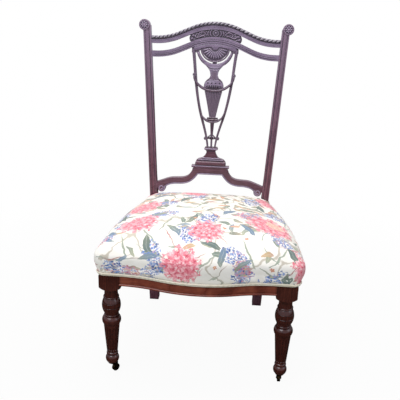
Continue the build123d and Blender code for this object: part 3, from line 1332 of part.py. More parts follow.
with BuildPart() as webbing_front_to_back:
    for number, strap_x in enumerate(LONG_STRAPS_X):
        crossings = [FRONT_Y + depth for depth in CROSS_STRAPS_BACK]
        outline = strap_outline(
            rail_inner_y - STRAP_END_LAP,
            rail_inner_y + bend_gap,
            back_rail_front - bend_gap,
            back_rail_front + STRAP_END_LAP,
            crossings,
            number % 2 == 0,
        )
        with BuildSketch(Plane.YZ.offset(strap_x - STRAP_WIDTH / 2)):
            with BuildLine():
                Polyline(*outline, close=True)
            make_face()
        extrude(amount=STRAP_WIDTH)
    cut_strap_holes()
save(webbing_front_to_back, "webbing_front_to_back")

with BuildPart() as webbing_side_to_side:
    for number, depth in enumerate(CROSS_STRAPS_BACK):
        reach = side_inner_x(depth)
        outline = strap_outline(
            -reach - STRAP_END_LAP,
            -reach + bend_gap,
            reach - bend_gap,
            reach + STRAP_END_LAP,
            LONG_STRAPS_X,
            number % 2 == 1,
        )
        strap_front = Plane(
            origin=(0, FRONT_Y + depth - STRAP_WIDTH / 2, 0), x_dir=(1, 0, 0), z_dir=(0, -1, 0)
        )
        with BuildSketch(strap_front):
            with BuildLine():
                Polyline(*outline, close=True)
            make_face()
        extrude(amount=-STRAP_WIDTH)
    cut_strap_holes()
save(webbing_side_to_side, "webbing_side_to_side")


def add_tacks(places, head_top):
    """Tacks driven up into the rails, their heads under this height."""
    with BuildSketch(Plane.XY.offset(head_top - TACK_HEAD_HEIGHT)) as heads:
        with Locations(*places):
            Circle(TACK_HEAD / 2)
    extrude(heads.sketch, amount=TACK_HEAD_HEIGHT)
    with BuildSketch(Plane.XY.offset(head_top - TACK_HEAD_HEIGHT)) as shanks:
        with Locations(*places):
            Circle(TACK_SHANK / 2)
    extrude(shanks.sketch, amount=RAIL_BOTTOM + TACK_LENGTH - TACK_CLEARANCE - head_top + TACK_HEAD_HEIGHT)


with BuildPart() as webbing_tacks:
    add_tacks(WEBBING_TACKS, tack_head_top)
save(webbing_tacks, "webbing_tacks")

with BuildPart() as dust_cover:
    with BuildSketch(Plane.XY.offset(dust_bottom)):
        with BuildLine():
            edge_front = FRONT_Y + FRONT_RAIL_SET_BACK + DUST_COVER_MARGIN
            edge_leg = leg_inner - CORNER_CLEARANCE
            behind_leg = FRONT_Y + LEG_BLOCK + CORNER_CLEARANCE
            before_post = BACK_Y - CORNER_CLEARANCE
            edge_post = POST_INNER_AT_SEAT - CORNER_CLEARANCE
            edge_rear = back_rail_front + BACK_RAIL_THICKNESS - DUST_COVER_MARGIN
            half = [
                (edge_leg, edge_front),
                (edge_leg, behind_leg),
                (side_rail_x(LEG_BLOCK) - DUST_COVER_MARGIN, behind_leg),
                (side_rail_x(SEAT_DEPTH) - DUST_COVER_MARGIN, before_post),
                (edge_post, before_post),
                (edge_post, edge_rear),
            ]
            Polyline(*half, *[(-x, y) for x, y in reversed(half)], close=True)
        make_face()
        with Locations(*DUST_COVER_TACKS):
            Circle(TACK_SHANK / 2 + TACK_CLEARANCE, mode=Mode.SUBTRACT)
    extrude(amount=DUST_COVER_THICKNESS)
save(dust_cover, "dust_cover")

with BuildPart() as dust_cover_tacks:
    add_tacks(DUST_COVER_TACKS, dust_bottom)
save(dust_cover_tacks, "dust_cover_tacks")

# Coil springs stand on the crossings of the webbing
spring_base = strap_middle + strap_wave + STRAP_THICKNESS / 2 + SOFT_GAP
spring_rise = SPRING_HEIGHT - SPRING_WIRE
spring_pitch = spring_rise / SPRING_TURNS
SPRING_PLACES = [(x, FRONT_Y + y) for x in LONG_STRAPS_X[::2] for y in CROSS_STRAPS_BACK[::2]]
SPRING_PLACES.append((LONG_STRAPS_X[1], FRONT_Y + CROSS_STRAPS_BACK[1]))
print("gap between the turns of a spring", round(spring_pitch - SPRING_WIRE, 2), "mm")

with BuildPart() as seat_springs:
    for place in SPRING_PLACES:
        foot = Vector(place[0], place[1], spring_base + SPRING_WIRE / 2)
        with BuildLine() as coil:
            Helix(spring_pitch, spring_rise, SPRING_RADIUS, center=foot)
        with BuildSketch(Plane(origin=coil.line @ 0, z_dir=coil.line % 0)):
            Circle(SPRING_WIRE / 2)
        sweep(path=coil.wire(), is_frenet=True)
save(seat_springs, "seat_springs")

# Hessian over the springs, turned down onto the rails
spring_top = spring_base + SPRING_HEIGHT
spring_reach_x = LONG_STRAPS_X[2] + SPRING_RADIUS + SPRING_WIRE / 2 + HESSIAN_TOP_MARGIN
spring_front = FRONT_Y + CROSS_STRAPS_BACK[0] - SPRING_RADIUS - SPRING_WIRE / 2 - HESSIAN_TOP_MARGIN
spring_rear = FRONT_Y + CROSS_STRAPS_BACK[2] + SPRING_RADIUS + SPRING_WIRE / 2 + HESSIAN_TOP_MARGIN


def add_spring_hump(lift):
    """Sloping hump over the springs, raised by this much."""
    with BuildSketch(Plane.XY.offset(RAIL_TOP + lift)) as foot:
        with BuildLine():
            front = rail_inner_y + HESSIAN_LAP / 2
            rear = BACK_Y - HESSIAN_LAP / 2
            wide = side_inner_x(FRONT_RAIL_INNER) - HESSIAN_LAP
            narrow = side_inner_x(SEAT_DEPTH) - HESSIAN_LAP / 2
            Polyline((-wide, front), (wide, front), (narrow, rear), (-narrow, rear), close=True)
        make_face()
    with BuildSketch(Plane.XY.offset(spring_top + SOFT_GAP + lift)) as top:
        with BuildLine():
            wide = spring_reach_x
            Polyline(
                (-wide, spring_front),
                (wide, spring_front),
                (wide, spring_rear),
                (-wide, spring_rear),
                close=True,
            )
        make_face()
    loft(sections=[foot.sketch, top.sketch], ruled=True)


with BuildPart() as hump_inside:
    add_spring_hump(0.0)

with BuildPart() as hump_clearance:
    add_spring_hump(HESSIAN_THICKNESS + SOFT_GAP)

with BuildPart() as spring_hessian:
    add_spring_hump(HESSIAN_THICKNESS)
    with BuildSketch(Plane.XY.offset(RAIL_TOP)):
        with BuildLine():
            lap_front = rail_inner_y - HESSIAN_LAP
            lap_side = side_inner_x(LEG_BLOCK) + HESSIAN_LAP
            lap_narrow = side_inner_x(SEAT_DEPTH) + HESSIAN_LAP
            lap_rear = back_rail_front + HESSIAN_LAP
            half = [
                (lap_side, lap_front),
                (lap_side, FRONT_Y + LEG_BLOCK),
                (lap_narrow, BACK_Y - CORNER_CLEARANCE),
                (POST_INNER_AT_SEAT - CORNER_CLEARANCE, BACK_Y - CORNER_CLEARANCE),
                (POST_INNER_AT_SEAT - CORNER_CLEARANCE, lap_rear),
            ]
            Polyline(*half, *[(-x, y) for x, y in reversed(half)], close=True)
        make_face()
    extrude(amount=HESSIAN_THICKNESS)
    add(hump_inside.part, mode=Mode.SUBTRACT)
save(spring_hessian, "spring_hessian")


# The stuffed seat, built up from contours that rise to the back
def corner_arc(corner, back_along, on_along, radius):
    """Arc of this radius rounding a corner: its start, middle and end."""
    half_angle = math.radians(back_along.get_angle(on_along)) / 2
    reach = radius / math.tan(half_angle)
    start = corner + back_along * reach
    end = corner + on_along * reach
    bisector = (back_along + on_along).normalized()
    middle = corner + bisector * (radius / math.sin(half_angle) - radius)
    return start, middle, end


def seat_contour_points(inset):
    """Right half of a seat contour in plan: front corner, rear corner and the front's serpentine."""
    drawn_in = max(0.0, inset) / HALF_FRONT
    radius = SEAT_CORNER_RADIUS * (1 + 2 * drawn_in)
    bow = FRONT_BOW * (1 - drawn_in)
    crown = FRONT_Y + BOW_FRONT + COVER_SET_IN + inset
    front = crown + bow
    rear = back_rail_front + BACK_RAIL_THICKNESS - COVER_SET_IN - inset
    front_corner = Vector(side_rail_x(front - FRONT_Y) - COVER_SET_IN - inset, front)
    rear_corner = Vector(side_rail_x(rear - FRONT_Y) - COVER_SET_IN - inset, rear)
    along_side = (rear_corner - front_corner).normalized()
    front_arc = corner_arc(front_corner, Vector(-1, 0), along_side, radius)
    rear_arc = corner_arc(rear_corner, along_side * -1, Vector(-1, 0), radius)
    return crown, bow, front_arc, rear_arc


cover_front_run = seat_contour_points(0.0)[2][0].X


def level_place(x, y):
    """Place in a level plane."""
    return (x, y)


def add_seat_front(crown, bow, front_arc, place):
    """Front edge of a seat contour with its two rounded corners."""
    span = rail_span * front_arc[0].X / cover_front_run
    crown_end, hollow_start, hollow_middle = serpentine_points(span, bow, FRONT_BOW_EASE)
    ThreePointArc(
        place(-crown_end[0], crown + crown_end[1]),
        place(0, crown),
        place(crown_end[0], crown + crown_end[1]),
    )
    for side in (-1, 1):
        Line(
            place(side * crown_end[0], crown + crown_end[1]),
            place(side * hollow_start[0], crown + hollow_start[1]),
        )
        ThreePointArc(
            place(side * hollow_start[0], crown + hollow_start[1]),
            place(side * hollow_middle[0], crown + hollow_middle[1]),
            place(side * span, crown + bow),
        )
        Line(place(side * span, crown + bow), place(side * front_arc[0].X, front_arc[0].Y))
        ThreePointArc(*[place(side * point.X, point.Y) for point in front_arc])


def seat_section(inset, front_height, back_height):
    """One closed contour of the seat on its sloping plane."""
    crown, bow, front_arc, rear_arc = seat_contour_points(inset)
    rear = rear_arc[2].Y
    slope = math.atan2(back_height - front_height, rear - crown)
    middle_y = (crown + rear) / 2
    plane = Plane(
        origin=(0, middle_y, (front_height + back_height) / 2),
        x_dir=(1, 0, 0),
        z_dir=(0, -math.sin(slope), math.cos(slope)),
    )

    def place(x, y):
        return (x, (y - middle_y) / math.cos(slope))

    with BuildSketch(plane) as section:
        with BuildLine():
            add_seat_front(crown, bow, front_arc, place)
            for side in (-1, 1):
                Line(
                    place(side * front_arc[2].X, front_arc[2].Y),
                    place(side * rear_arc[0].X, rear_arc[0].Y),
                )
                ThreePointArc(*[place(side * point.X, point.Y) for point in rear_arc])
            Line(place(-rear_arc[2].X, rear), place(rear_arc[2].X, rear))
        make_face()
    return section.sketch


def seat_sections(depth, drop):
    """Contours of the seat this deep under the cover's face, the lowest one let down a little."""
    top = len(SEAT_CONTOURS) - 1
    sections = []
    for number, (inset, front_height, back_height) in enumerate(SEAT_CONTOURS):
        sink = depth * number / top
        if number == 0:
            sink = drop
        sections.append(seat_section(inset + depth, front_height - sink, back_height - sink))
    return sections


layer_base = RAIL_TOP + HESSIAN_THICKNESS + SOFT_GAP
wadding_depth = COVER_THICKNESS + SOFT_GAP
hair_depth = wadding_depth + WADDING_THICKNESS + SOFT_GAP
fibre_depth = hair_depth + HAIR_THICKNESS + SOFT_GAP


def cut_post_notches():
    """Clears the two back posts through a layer of the seat."""
    notch_front = BACK_Y - SOFT_GAP
    with BuildSketch(Plane.XY.offset(RAIL_BOTTOM)) as notches:
        for side in (-1, 1):
            notch_middle = POST_INNER_AT_SEAT - SOFT_GAP + HALF_FRONT
            with Locations((side * notch_middle, notch_front + HALF_FRONT)):
                Rectangle(FRONT_WIDTH, FRONT_WIDTH)
    extrude(notches.sketch, amount=FRONT_WIDTH, mode=Mode.SUBTRACT)


def add_seat_layer(outer_depth, inner_depth):
    """A shell of the seat between two depths under the cover's face, resting on the rails."""
    loft(sections=seat_sections(outer_depth, 0.0), ruled=True)
    loft(sections=seat_sections(inner_depth, FOOT_DROP), ruled=True, mode=Mode.SUBTRACT)
    split(bisect_by=Plane.XY.offset(layer_base), keep=Keep.TOP)
    cut_post_notches()


with BuildPart() as seat_cover:
    loft(sections=seat_sections(0.0, 0.0), ruled=True)
    loft(sections=seat_sections(COVER_THICKNESS, FOOT_DROP), ruled=True, mode=Mode.SUBTRACT)
    cut_post_notches()
save(seat_cover, "seat_cover")

with BuildPart() as cotton_wadding:
    add_seat_layer(wadding_depth, wadding_depth + WADDING_THICKNESS)
save(cotton_wadding, "cotton_wadding")

with BuildPart() as hair_stuffing:
    add_seat_layer(hair_depth, hair_depth + HAIR_THICKNESS)
save(hair_stuffing, "hair_stuffing")

with BuildPart() as fibre_stuffing:
    loft(sections=seat_sections(fibre_depth, 0.0), ruled=True)
    split(bisect_by=Plane.XY.offset(layer_base), keep=Keep.TOP)
    add(hump_clearance.part, mode=Mode.SUBTRACT)
    cut_post_notches()
save(fibre_stuffing, "fibre_stuffing")

# Double piping along the foot of the cover, round the front and sides and across the back
foot_height = SEAT_CONTOURS[0][1]
foot_lean = -SEAT_CONTOURS[1][0] / (SEAT_CONTOURS[1][1] - foot_height)

with BuildPart() as double_piping:
    for number in range(2):
        cord_height = SHOW_WOOD_TOP + SOFT_GAP + PIPING_DIAMETER * (number + 0.5) + PIPING_GAP * number
        foot_reach = (cord_height - foot_height) * foot_lean
        stand = foot_reach + (PIPING_DIAMETER / 2 + SOFT_GAP) * math.hypot(1, foot_lean)
        crown, bow, front_arc, rear_arc = seat_contour_points(-stand)
        end_y = BACK_Y - CORNER_CLEARANCE
        end_x = side_rail_x(end_y - FRONT_Y) - COVER_SET_IN + stand
        with BuildLine(Plane.XY.offset(cord_height)) as cord:
            add_seat_front(crown, bow, front_arc, level_place)
            for side in (-1, 1):
                Line((side * front_arc[2].X, front_arc[2].Y), (side * end_x, end_y))
        start = Vector(-end_x, end_y, cord_height)
        run = Vector(-front_arc[2].X, front_arc[2].Y, cord_height) - start
        with BuildSketch(Plane(origin=start, z_dir=run)):
            Circle(PIPING_DIAMETER / 2)
        sweep(path=cord.wire())
        back_face = back_rail_front + BACK_RAIL_THICKNESS - COVER_SET_IN + stand
        half_run = POST_INNER_AT_SEAT - CORNER_CLEARANCE
        with BuildSketch(Plane(origin=(-half_run, back_face, cord_height), z_dir=(1, 0, 0))):
            Circle(PIPING_DIAMETER / 2)
        extrude(amount=2 * half_run)
save(double_piping, "double_piping")

# Castors under the two front legs
bridge_top = plate_bottom - CASTOR_GAP
bridge_bottom = bridge_top - BRIDGE_HEIGHT
pivot_head_top = bridge_bottom - CASTOR_GAP
fork_inner = WHEEL_WIDTH / 2 + WHEEL_SIDE_GAP
fork_outer = fork_inner + PRONG_THICKNESS
boss_radius = AXLE_DIAMETER
bridge_back = PIVOT_HEAD / 2 + CASTOR_GAP

for side_name, side in (("left", -1), ("right", 1)):
    leg_foot = (side * LEG_X, LEG_Y)
    turn = math.radians(CASTOR_TURN[side_name])
    castor = Plane(origin=(*leg_foot, 0), x_dir=(math.cos(turn), math.sin(turn), 0), z_dir=(0, 0, 1))
    castor_side = Plane(origin=castor.origin, x_dir=castor.x_dir, z_dir=castor.y_dir * -1)
    screw_places = []
    for angle in screw_angles:
        out = Vector(PLATE_SCREW_CIRCLE, 0).rotate(Axis.Z, angle)
        screw_places.append((leg_foot[0] + side * out.X, leg_foot[1] + out.Y))

    with BuildPart() as castor_plate:
        with BuildSketch(Plane.XY.offset(plate_bottom)):
            with Locations(leg_foot):
                Circle(PLATE_RADIUS)
                Circle(PIVOT_DIAMETER / 2 + PIVOT_FIT, mode=Mode.SUBTRACT)
            with Locations(*screw_places):
                Circle(PLATE_SCREW_SHANK / 2 + SCREW_CLEARANCE, mode=Mode.SUBTRACT)
        extrude(amount=PLATE_THICKNESS)
        with BuildSketch(Plane.XY.offset(plate_bottom)):
            with Locations(*screw_places):
                Circle(PLATE_SCREW_HEAD / 2 + SCREW_CLEARANCE)
        extrude(amount=PLATE_SCREW_HEAD_HEIGHT, mode=Mode.SUBTRACT)
    save(castor_plate, f"{side_name}_castor_plate")

    with BuildPart() as castor_screws:
        with BuildSketch(Plane.XY.offset(plate_bottom)):
            with Locations(*screw_places):
                Circle(PLATE_SCREW_HEAD / 2)
        extrude(amount=PLATE_SCREW_HEAD_HEIGHT)
        with BuildSketch(Plane.XY.offset(plate_bottom)):
            with Locations(*screw_places):
                Circle(PLATE_SCREW_SHANK / 2)
        extrude(amount=PLATE_SCREW_LENGTH)
    save(castor_screws, f"{side_name}_castor_screws")

    with BuildPart() as castor_pivot:
        with BuildSketch(Plane.XY.offset(pivot_head_top - PIVOT_HEAD_HEIGHT)):
            with Locations(leg_foot):
                Circle(PIVOT_HEAD / 2)
        extrude(amount=PIVOT_HEAD_HEIGHT)
        with BuildSketch(Plane.XY.offset(pivot_head_top)):
            with Locations(leg_foot):
                Circle(PIVOT_DIAMETER / 2)
        extrude(amount=FOOT_BOTTOM + PIVOT_LENGTH - pivot_head_top)
    save(castor_pivot, f"{side_name}_castor_pivot")

    with BuildPart() as castor_fork:
        with BuildSketch(castor.offset(bridge_bottom)):
            with Locations(((CASTOR_TRAIL + boss_radius - bridge_back) / 2, 0)):
                Rectangle(CASTOR_TRAIL + boss_radius + bridge_back, 2 * fork_outer)
        extrude(amount=BRIDGE_HEIGHT)
        for prong in (-1, 1):
            with BuildSketch(castor_side.offset(prong * fork_inner)):
                with BuildLine():
                    Polyline(
                        (0, bridge_top),
                        (CASTOR_TRAIL + boss_radius, bridge_top),
                        (CASTOR_TRAIL + boss_radius, WHEEL_RADIUS),
                        (CASTOR_TRAIL - boss_radius, WHEEL_RADIUS),
                        (0, bridge_bottom),
                        close=True,
                    )
                make_face()
                with Locations((CASTOR_TRAIL, WHEEL_RADIUS)):
                    Circle(boss_radius)
            extrude(amount=prong * PRONG_THICKNESS)
        with BuildSketch(castor.offset(bridge_bottom - 1.0)):
            Circle(PIVOT_DIAMETER / 2 + PIVOT_FIT)
        extrude(amount=BRIDGE_HEIGHT + 2.0, mode=Mode.SUBTRACT)
        with BuildSketch(castor_side):
            with Locations((CASTOR_TRAIL, WHEEL_RADIUS)):
                Circle(AXLE_DIAMETER / 2 + AXLE_FIT)
        extrude(amount=fork_outer + 1.0, both=True, mode=Mode.SUBTRACT)
    save(castor_fork, f"{side_name}_castor_fork")

    with BuildPart() as castor_axle:
        with BuildSketch(castor_side):
            with Locations((CASTOR_TRAIL, WHEEL_RADIUS)):
                Circle(AXLE_DIAMETER / 2)
        extrude(amount=fork_outer, both=True)
        for end in (-1, 1):
            with BuildSketch(castor_side.offset(end * fork_outer)):
                with Locations((CASTOR_TRAIL, WHEEL_RADIUS)):
                    Circle(AXLE_HEAD / 2)
            extrude(amount=end * AXLE_HEAD_HEIGHT)
    save(castor_axle, f"{side_name}_castor_axle")

    with BuildPart() as castor_wheel:
        with BuildSketch(castor_side):
            with Locations((CASTOR_TRAIL, WHEEL_RADIUS)):
                Circle(WHEEL_RADIUS)
        extrude(amount=WHEEL_WIDTH / 2, both=True)
        fillet(castor_wheel.edges().filter_by(GeomType.CIRCLE), radius=WHEEL_WIDTH / 8)
        with BuildSketch(castor_side):
            with Locations((CASTOR_TRAIL, WHEEL_RADIUS)):
                Circle(AXLE_DIAMETER / 2 + AXLE_FIT)
        extrude(amount=WHEEL_WIDTH, both=True, mode=Mode.SUBTRACT)
    save(castor_wheel, f"{side_name}_castor_wheel")
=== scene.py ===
"""Low nursing chair: polished mahogany with carving, a stuffed seat in printed cotton, brass castors."""
import bpy
from functools import partialmethod
from math import atan2, copysign, cos, degrees, pi, radians, sin, sqrt, tan
from mathutils import Matrix, Vector


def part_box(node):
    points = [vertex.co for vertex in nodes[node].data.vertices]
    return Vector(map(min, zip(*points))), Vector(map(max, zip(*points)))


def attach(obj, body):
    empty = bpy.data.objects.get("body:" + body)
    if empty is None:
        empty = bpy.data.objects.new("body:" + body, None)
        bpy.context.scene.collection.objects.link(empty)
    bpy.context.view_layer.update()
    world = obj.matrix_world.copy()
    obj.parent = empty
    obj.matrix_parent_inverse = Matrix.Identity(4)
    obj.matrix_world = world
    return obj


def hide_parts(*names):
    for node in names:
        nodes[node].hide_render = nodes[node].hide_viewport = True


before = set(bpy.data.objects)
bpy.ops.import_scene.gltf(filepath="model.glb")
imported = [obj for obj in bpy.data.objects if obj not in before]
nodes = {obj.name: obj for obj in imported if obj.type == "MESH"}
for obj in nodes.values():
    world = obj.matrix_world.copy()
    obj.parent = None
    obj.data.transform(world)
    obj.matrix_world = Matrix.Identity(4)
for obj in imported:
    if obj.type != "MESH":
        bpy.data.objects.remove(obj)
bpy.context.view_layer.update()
MM = 0.001

# The raked plane of the back, and the seat frame in plan, as the solids have them, in millimetres
SEAT_DEPTH = 409.6
FRONT_Y = -221.4555
BACK_Y = FRONT_Y + SEAT_DEPTH
BLOCK = 50.0
SEAT_LINE = 330.0
RAKE = radians(5.37)
SPLAY = radians(3.29)
POST_INNER = 155.0
CREST_RISE = 43.0
CREST_EASE = 0.81
CREST_HEIGHT = 21.0
MID_HEIGHT = 17.2
RAIL_END = 12.0
ROPE_RADIUS = 4.5
SCROLL_OUT = 201.9
# The carving is drawn on a back 475.7 high over a seat line at 350, and stretched to this one
DRAWN_LINE = 350.0
STRETCH = 1.09
STRETCH_DROP = 2.5
BACK = Matrix((
    (1, 0, 0, 0),
    (0, sin(RAKE), -cos(RAKE), BACK_Y * MM),
    (0, cos(RAKE), sin(RAKE), SEAT_LINE * MM),
    (0, 0, 0, 1),
))


def up(height):
    """Distance up the raked back of a drawn height."""
    return ((height - DRAWN_LINE) * STRETCH - STRETCH_DROP) / cos(RAKE)


def post_inner(distance_up):
    """Inner edge of the right post, this far up the raked back."""
    return POST_INNER + distance_up * tan(SPLAY)


def serpentine_drop(span, rise, ease, out):
    """How far a serpentine of two arcs and a straight has fallen from its crown, this far out."""
    slope = ease * 2 * atan2(rise, span)
    radius = (span * sin(slope) - rise * cos(slope)) / (1 - cos(slope)) / 2
    arc_out, arc_drop = radius * sin(slope), radius * (1 - cos(slope))
    out = abs(out)
    if out >= span:
        return rise
    if out <= arc_out:
        return radius - sqrt(radius**2 - out**2)
    if out <= span - arc_out:
        return arc_drop + (out - arc_out) / (span - 2 * arc_out) * (rise - 2 * arc_drop)
    return rise - radius + sqrt(radius**2 - (span - out) ** 2)


CREST_TOP = up(839.0)
MID_TOP = up(801.5)
SCROLL_UP = up(825.7)
CREST_SPAN = post_inner(CREST_TOP - CREST_RISE - CREST_HEIGHT) - RAIL_END
MID_SPAN = post_inner(MID_TOP - CREST_RISE - MID_HEIGHT) - RAIL_END


def crest_drop(out):
    """How far the crest has fallen from its crown, this far out."""
    return serpentine_drop(CREST_SPAN, CREST_RISE, CREST_EASE, out)


def mid_drop(out):
    """How far the middle rail has fallen from its crown, this far out."""
    return serpentine_drop(MID_SPAN, CREST_RISE, CREST_EASE, out)


# Objects and shader nodes
def place_object(name, data):
    """New object for this data, in the scene."""
    made = bpy.data.objects.new(name, data)
    bpy.context.collection.objects.link(made)
    return made


def choose(piece):
    """Selects one object alone and makes it the active one."""
    bpy.ops.object.select_all(action="DESELECT")
    piece.select_set(True)
    bpy.context.view_layer.objects.active = piece


def set_all(owner, **values):
    """Sets several properties of one owner."""
    for name, value in values.items():
        setattr(owner, name, value)
    return owner


def linear(code):
    """Linear colour of an sRGB hex value."""
    parts = [int(code[place:place + 2], 16) / 255 for place in (1, 3, 5)]
    return tuple(c / 12.92 if c <= 0.04045 else ((c + 0.055) / 1.055) ** 2.4 for c in parts) + (1.0,)


def plug(node, sockets):
    """Sets a node's sockets: from another node, to a colour in hex, or to a plain value."""
    for socket, item in sockets.items():
        if isinstance(item, Field):
            item = item.socket
        if isinstance(item, bpy.types.NodeSocket):
            node.id_data.links.new(item, node.inputs[socket])
        else:
            node.inputs[socket].default_value = linear(item) if isinstance(item, str) else item


def add(near, kind, sockets=None, **settings):
    """Adds a shader node beside something in its tree, with its settings and sockets."""
    made = set_all(near.id_data.nodes.new("ShaderNode" + kind), **settings)
    plug(made, sockets or {})
    return made


class Field:
    """A number that runs through shader nodes, with plain arithmetic on it."""

    def __init__(self, socket):
        self.socket = socket
        self.id_data = socket.id_data

    def step(self, operation, *others):
        """One step of arithmetic with other fields and numbers."""
        return Field(add(self, "Math", dict(enumerate((self, *others))), operation=operation).outputs[0])

    __add__ = partialmethod(step, "ADD")
    __sub__ = partialmethod(step, "SUBTRACT")
    __rsub__ = partialmethod(step, "MULTIPLY_ADD", -1.0)
    __mul__ = partialmethod(step, "MULTIPLY")
    __truediv__ = partialmethod(step, "DIVIDE")
    __lt__ = partialmethod(step, "LESS_THAN")
    __abs__ = partialmethod(step, "ABSOLUTE")


def empty_tree(owner):
    """Node tree of a world or a material, with nothing in it."""
    owner.use_nodes = True
    owner.node_tree.nodes.clear()
    return owner.node_tree


def mapped(value, start, end, low=0.0, high=1.0):
    """A value carried from one range to another and held at its ends."""
    return Field(add(value, "MapRange", dict(enumerate((value, start, end, low, high)))).outputs[0])


def ramp(source, stops):
    """Colour ramp over hex stops."""
    made = add(source, "ValToRGB", {"Fac": source})
    line = made.color_ramp.elements
    while len(line) < len(stops):
        line.new(0.5)
    for element, (place, code) in zip(line, stops):
        element.position = place
        element.color = linear(code)
    return made.outputs["Color"]


def paint_over(ground, mask, colour):
    """Lays a colour on the ground where its mask is."""
    return add(mask, "Mix", {"Factor": mask, "A": ground, "B": colour}, data_type="RGBA").outputs["Result"]


def scaled(way, factor):
    """A vector times a number."""
    return add(way, "VectorMath", {"Scale": factor, 0: way}, operation="SCALE").outputs[0]


def parts_of(way):
    """The three parts of a vector."""
    return [Field(part) for part in add(way, "SeparateXYZ", {"Vector": way}).outputs]


def length_of(way):
    """The length of a vector."""
    return Field(add(way, "VectorMath", {0: way}, operation="LENGTH").outputs["Value"])


def bump(height, strength, depth):
    """Fine relief of this depth in metres."""
    return add(height, "Bump", {"Strength": strength, "Distance": depth, "Height": height}).outputs[0]


# Camera, floor and light
CAMERA_PLACE = (80.1, FRONT_Y - 1280.1, 953.6)
CAMERA_TURN = (3.6, 19.65, 1.87)
SENSOR = 36.0
FOCAL_PIXELS, PICTURE_PIXELS = 600.0, 400.0
# Name, place, height of the target, size in metres, power in watts, colour
LAMPS = (
    ("top_light", (-0.1, 0.1, 2.5), 0.3, 1.3, 40.0, "#fffaf4"),
    ("key_light", (-0.9, -1.7, 2.3), 0.5, 1.8, 46.0, "#f6f8ff"),
    ("side_light", (2.2, -0.9, 1.3), 0.4, 1.2, 7.0, "#f2f4ff"),
    ("back_light", (-0.8, 2.2, 1.9), 0.5, 1.4, 12.0, "#ffffff"),
)


def aim_camera():
    """Camera where the photograph was taken from: to the right, above the seat, turned slightly."""
    yaw, pitch, roll = (radians(angle) for angle in CAMERA_TURN)
    right = Vector((cos(yaw), sin(yaw), 0))
    ahead = Vector((-sin(yaw) * cos(pitch), cos(yaw) * cos(pitch), -sin(pitch)))
    above = right.cross(ahead)
    image_right = right * cos(roll) + above * sin(roll)
    image_up = above * cos(roll) - right * sin(roll)
    turn = Matrix((image_right, image_up, -ahead)).transposed().to_4x4()
    data = bpy.data.cameras.new("photo_camera")
    data.sensor_width = SENSOR
    data.lens = SENSOR * FOCAL_PIXELS / PICTURE_PIXELS
    camera = place_object("photo_camera", data)
    camera.matrix_world = Matrix.Translation(Vector(CAMERA_PLACE) * MM) @ turn
    bpy.context.scene.camera = camera


def light_studio():
    """White surround to the eye, plain soft light on the chair, and a sky for the polish to mirror."""
    world = bpy.data.worlds.new("soft_studio")
    bpy.context.scene.world = world
    tree = empty_tree(world)
    path = add(tree, "LightPath").outputs
    seen = Field(path["Is Camera Ray"]).step("MAXIMUM", Field(path["Is Transmission Ray"]))
    lit, glossy, white = (
        add(tree, "Background", {"Color": code, "Strength": strength}).outputs[0]
        for code, strength in (("#e6ecf8", 0.34), ("#e6e4f0", 0.8), ("#ffffff", 1.0))
    )
    shown = add(tree, "MixShader", {0: path["Is Glossy Ray"], 1: lit, 2: glossy}).outputs[0]
    mixed = add(tree, "MixShader", {0: seen, 1: shown, 2: white}).outputs[0]
    add(tree, "OutputWorld", {"Surface": mixed})
    for name, place, target, size, power, code in LAMPS:
        data = bpy.data.lights.new(name, "AREA")
        lamp = place_object(name, set_all(data, size=size, energy=power, color=linear(code)[:3]))
        lamp.location = place
        aim = Vector((0.0, 0.0, target)) - Vector(place)
        lamp.rotation_euler = aim.to_track_quat("-Z", "Y").to_euler()
    bpy.context.scene.view_settings.view_transform = "Standard"


def lay_floor():
    """Pale floor that keeps the shadow, whiter further off, and dark in the polish."""
    bpy.ops.mesh.primitive_plane_add(size=12.0, location=(0, 0, 0))
    floor = bpy.context.object
    floor.name = "pale_floor"
    material = bpy.data.materials.new("pale_floor_paint")
    tree = empty_tree(material)
    path = add(tree, "LightPath").outputs
    reach = length_of(add(tree, "TexCoord").outputs["Object"])
    share = Field(path["Is Camera Ray"]) * mapped(reach, 0.45, 1.3, 0.95, 1.0)
    tone = paint_over("#bcbdb8", path["Is Glossy Ray"], "#3a3a36")
    paint = add(tree, "BsdfDiffuse", {"Color": tone}).outputs[0]
    glow = add(tree, "Emission", {"Color": "#ffffff", "Strength": 1.0}).outputs[0]
    mixed = add(tree, "MixShader", {0: share, 1: paint, 2: glow}).outputs[0]
    add(tree, "OutputMaterial", {"Surface": mixed})
    floor.data.materials.append(material)


# Materials
GRAIN_TURNS = {"x": (0, 0, 0), "y": (0, 0, radians(90)), "z": (0, radians(90), 0)}
# Scale of a wave, over a place in metres, whose bands lie a millimetre apart
MM_BANDS = 314.0
FULL_TURN = 6.283


def begin(name):
    """New material with its shader, and the place on the object in metres."""
    material = bpy.data.materials.new(name)
    tree = empty_tree(material)
    shader = add(tree, "BsdfPrincipled")
    add(tree, "OutputMaterial", {"Surface": shader.outputs["BSDF"]})
    return material, shader, add(tree, "TexCoord").outputs["Object"]


def grained(spot, scale, detail, **more):
    """Noise stretched by three scales."""
    stretched = add(spot, "Mapping", {"Scale": scale, "Vector": spot}).outputs[0]
    sockets = {"Vector": stretched, "Scale": 1.0, "Detail": detail, **more}
    return Field(add(spot, "TexNoise", sockets).outputs["Fac"])


def threads(spot, scale, wander, detail):
    """The threads of a cloth, one way and the other."""
    sockets = {"Vector": spot, "Scale": scale, "Distortion": wander, "Detail": detail}
    return [Field(add(spot, "TexWave", sockets, bands_direction=way).outputs["Fac"]) for way in "XY"]


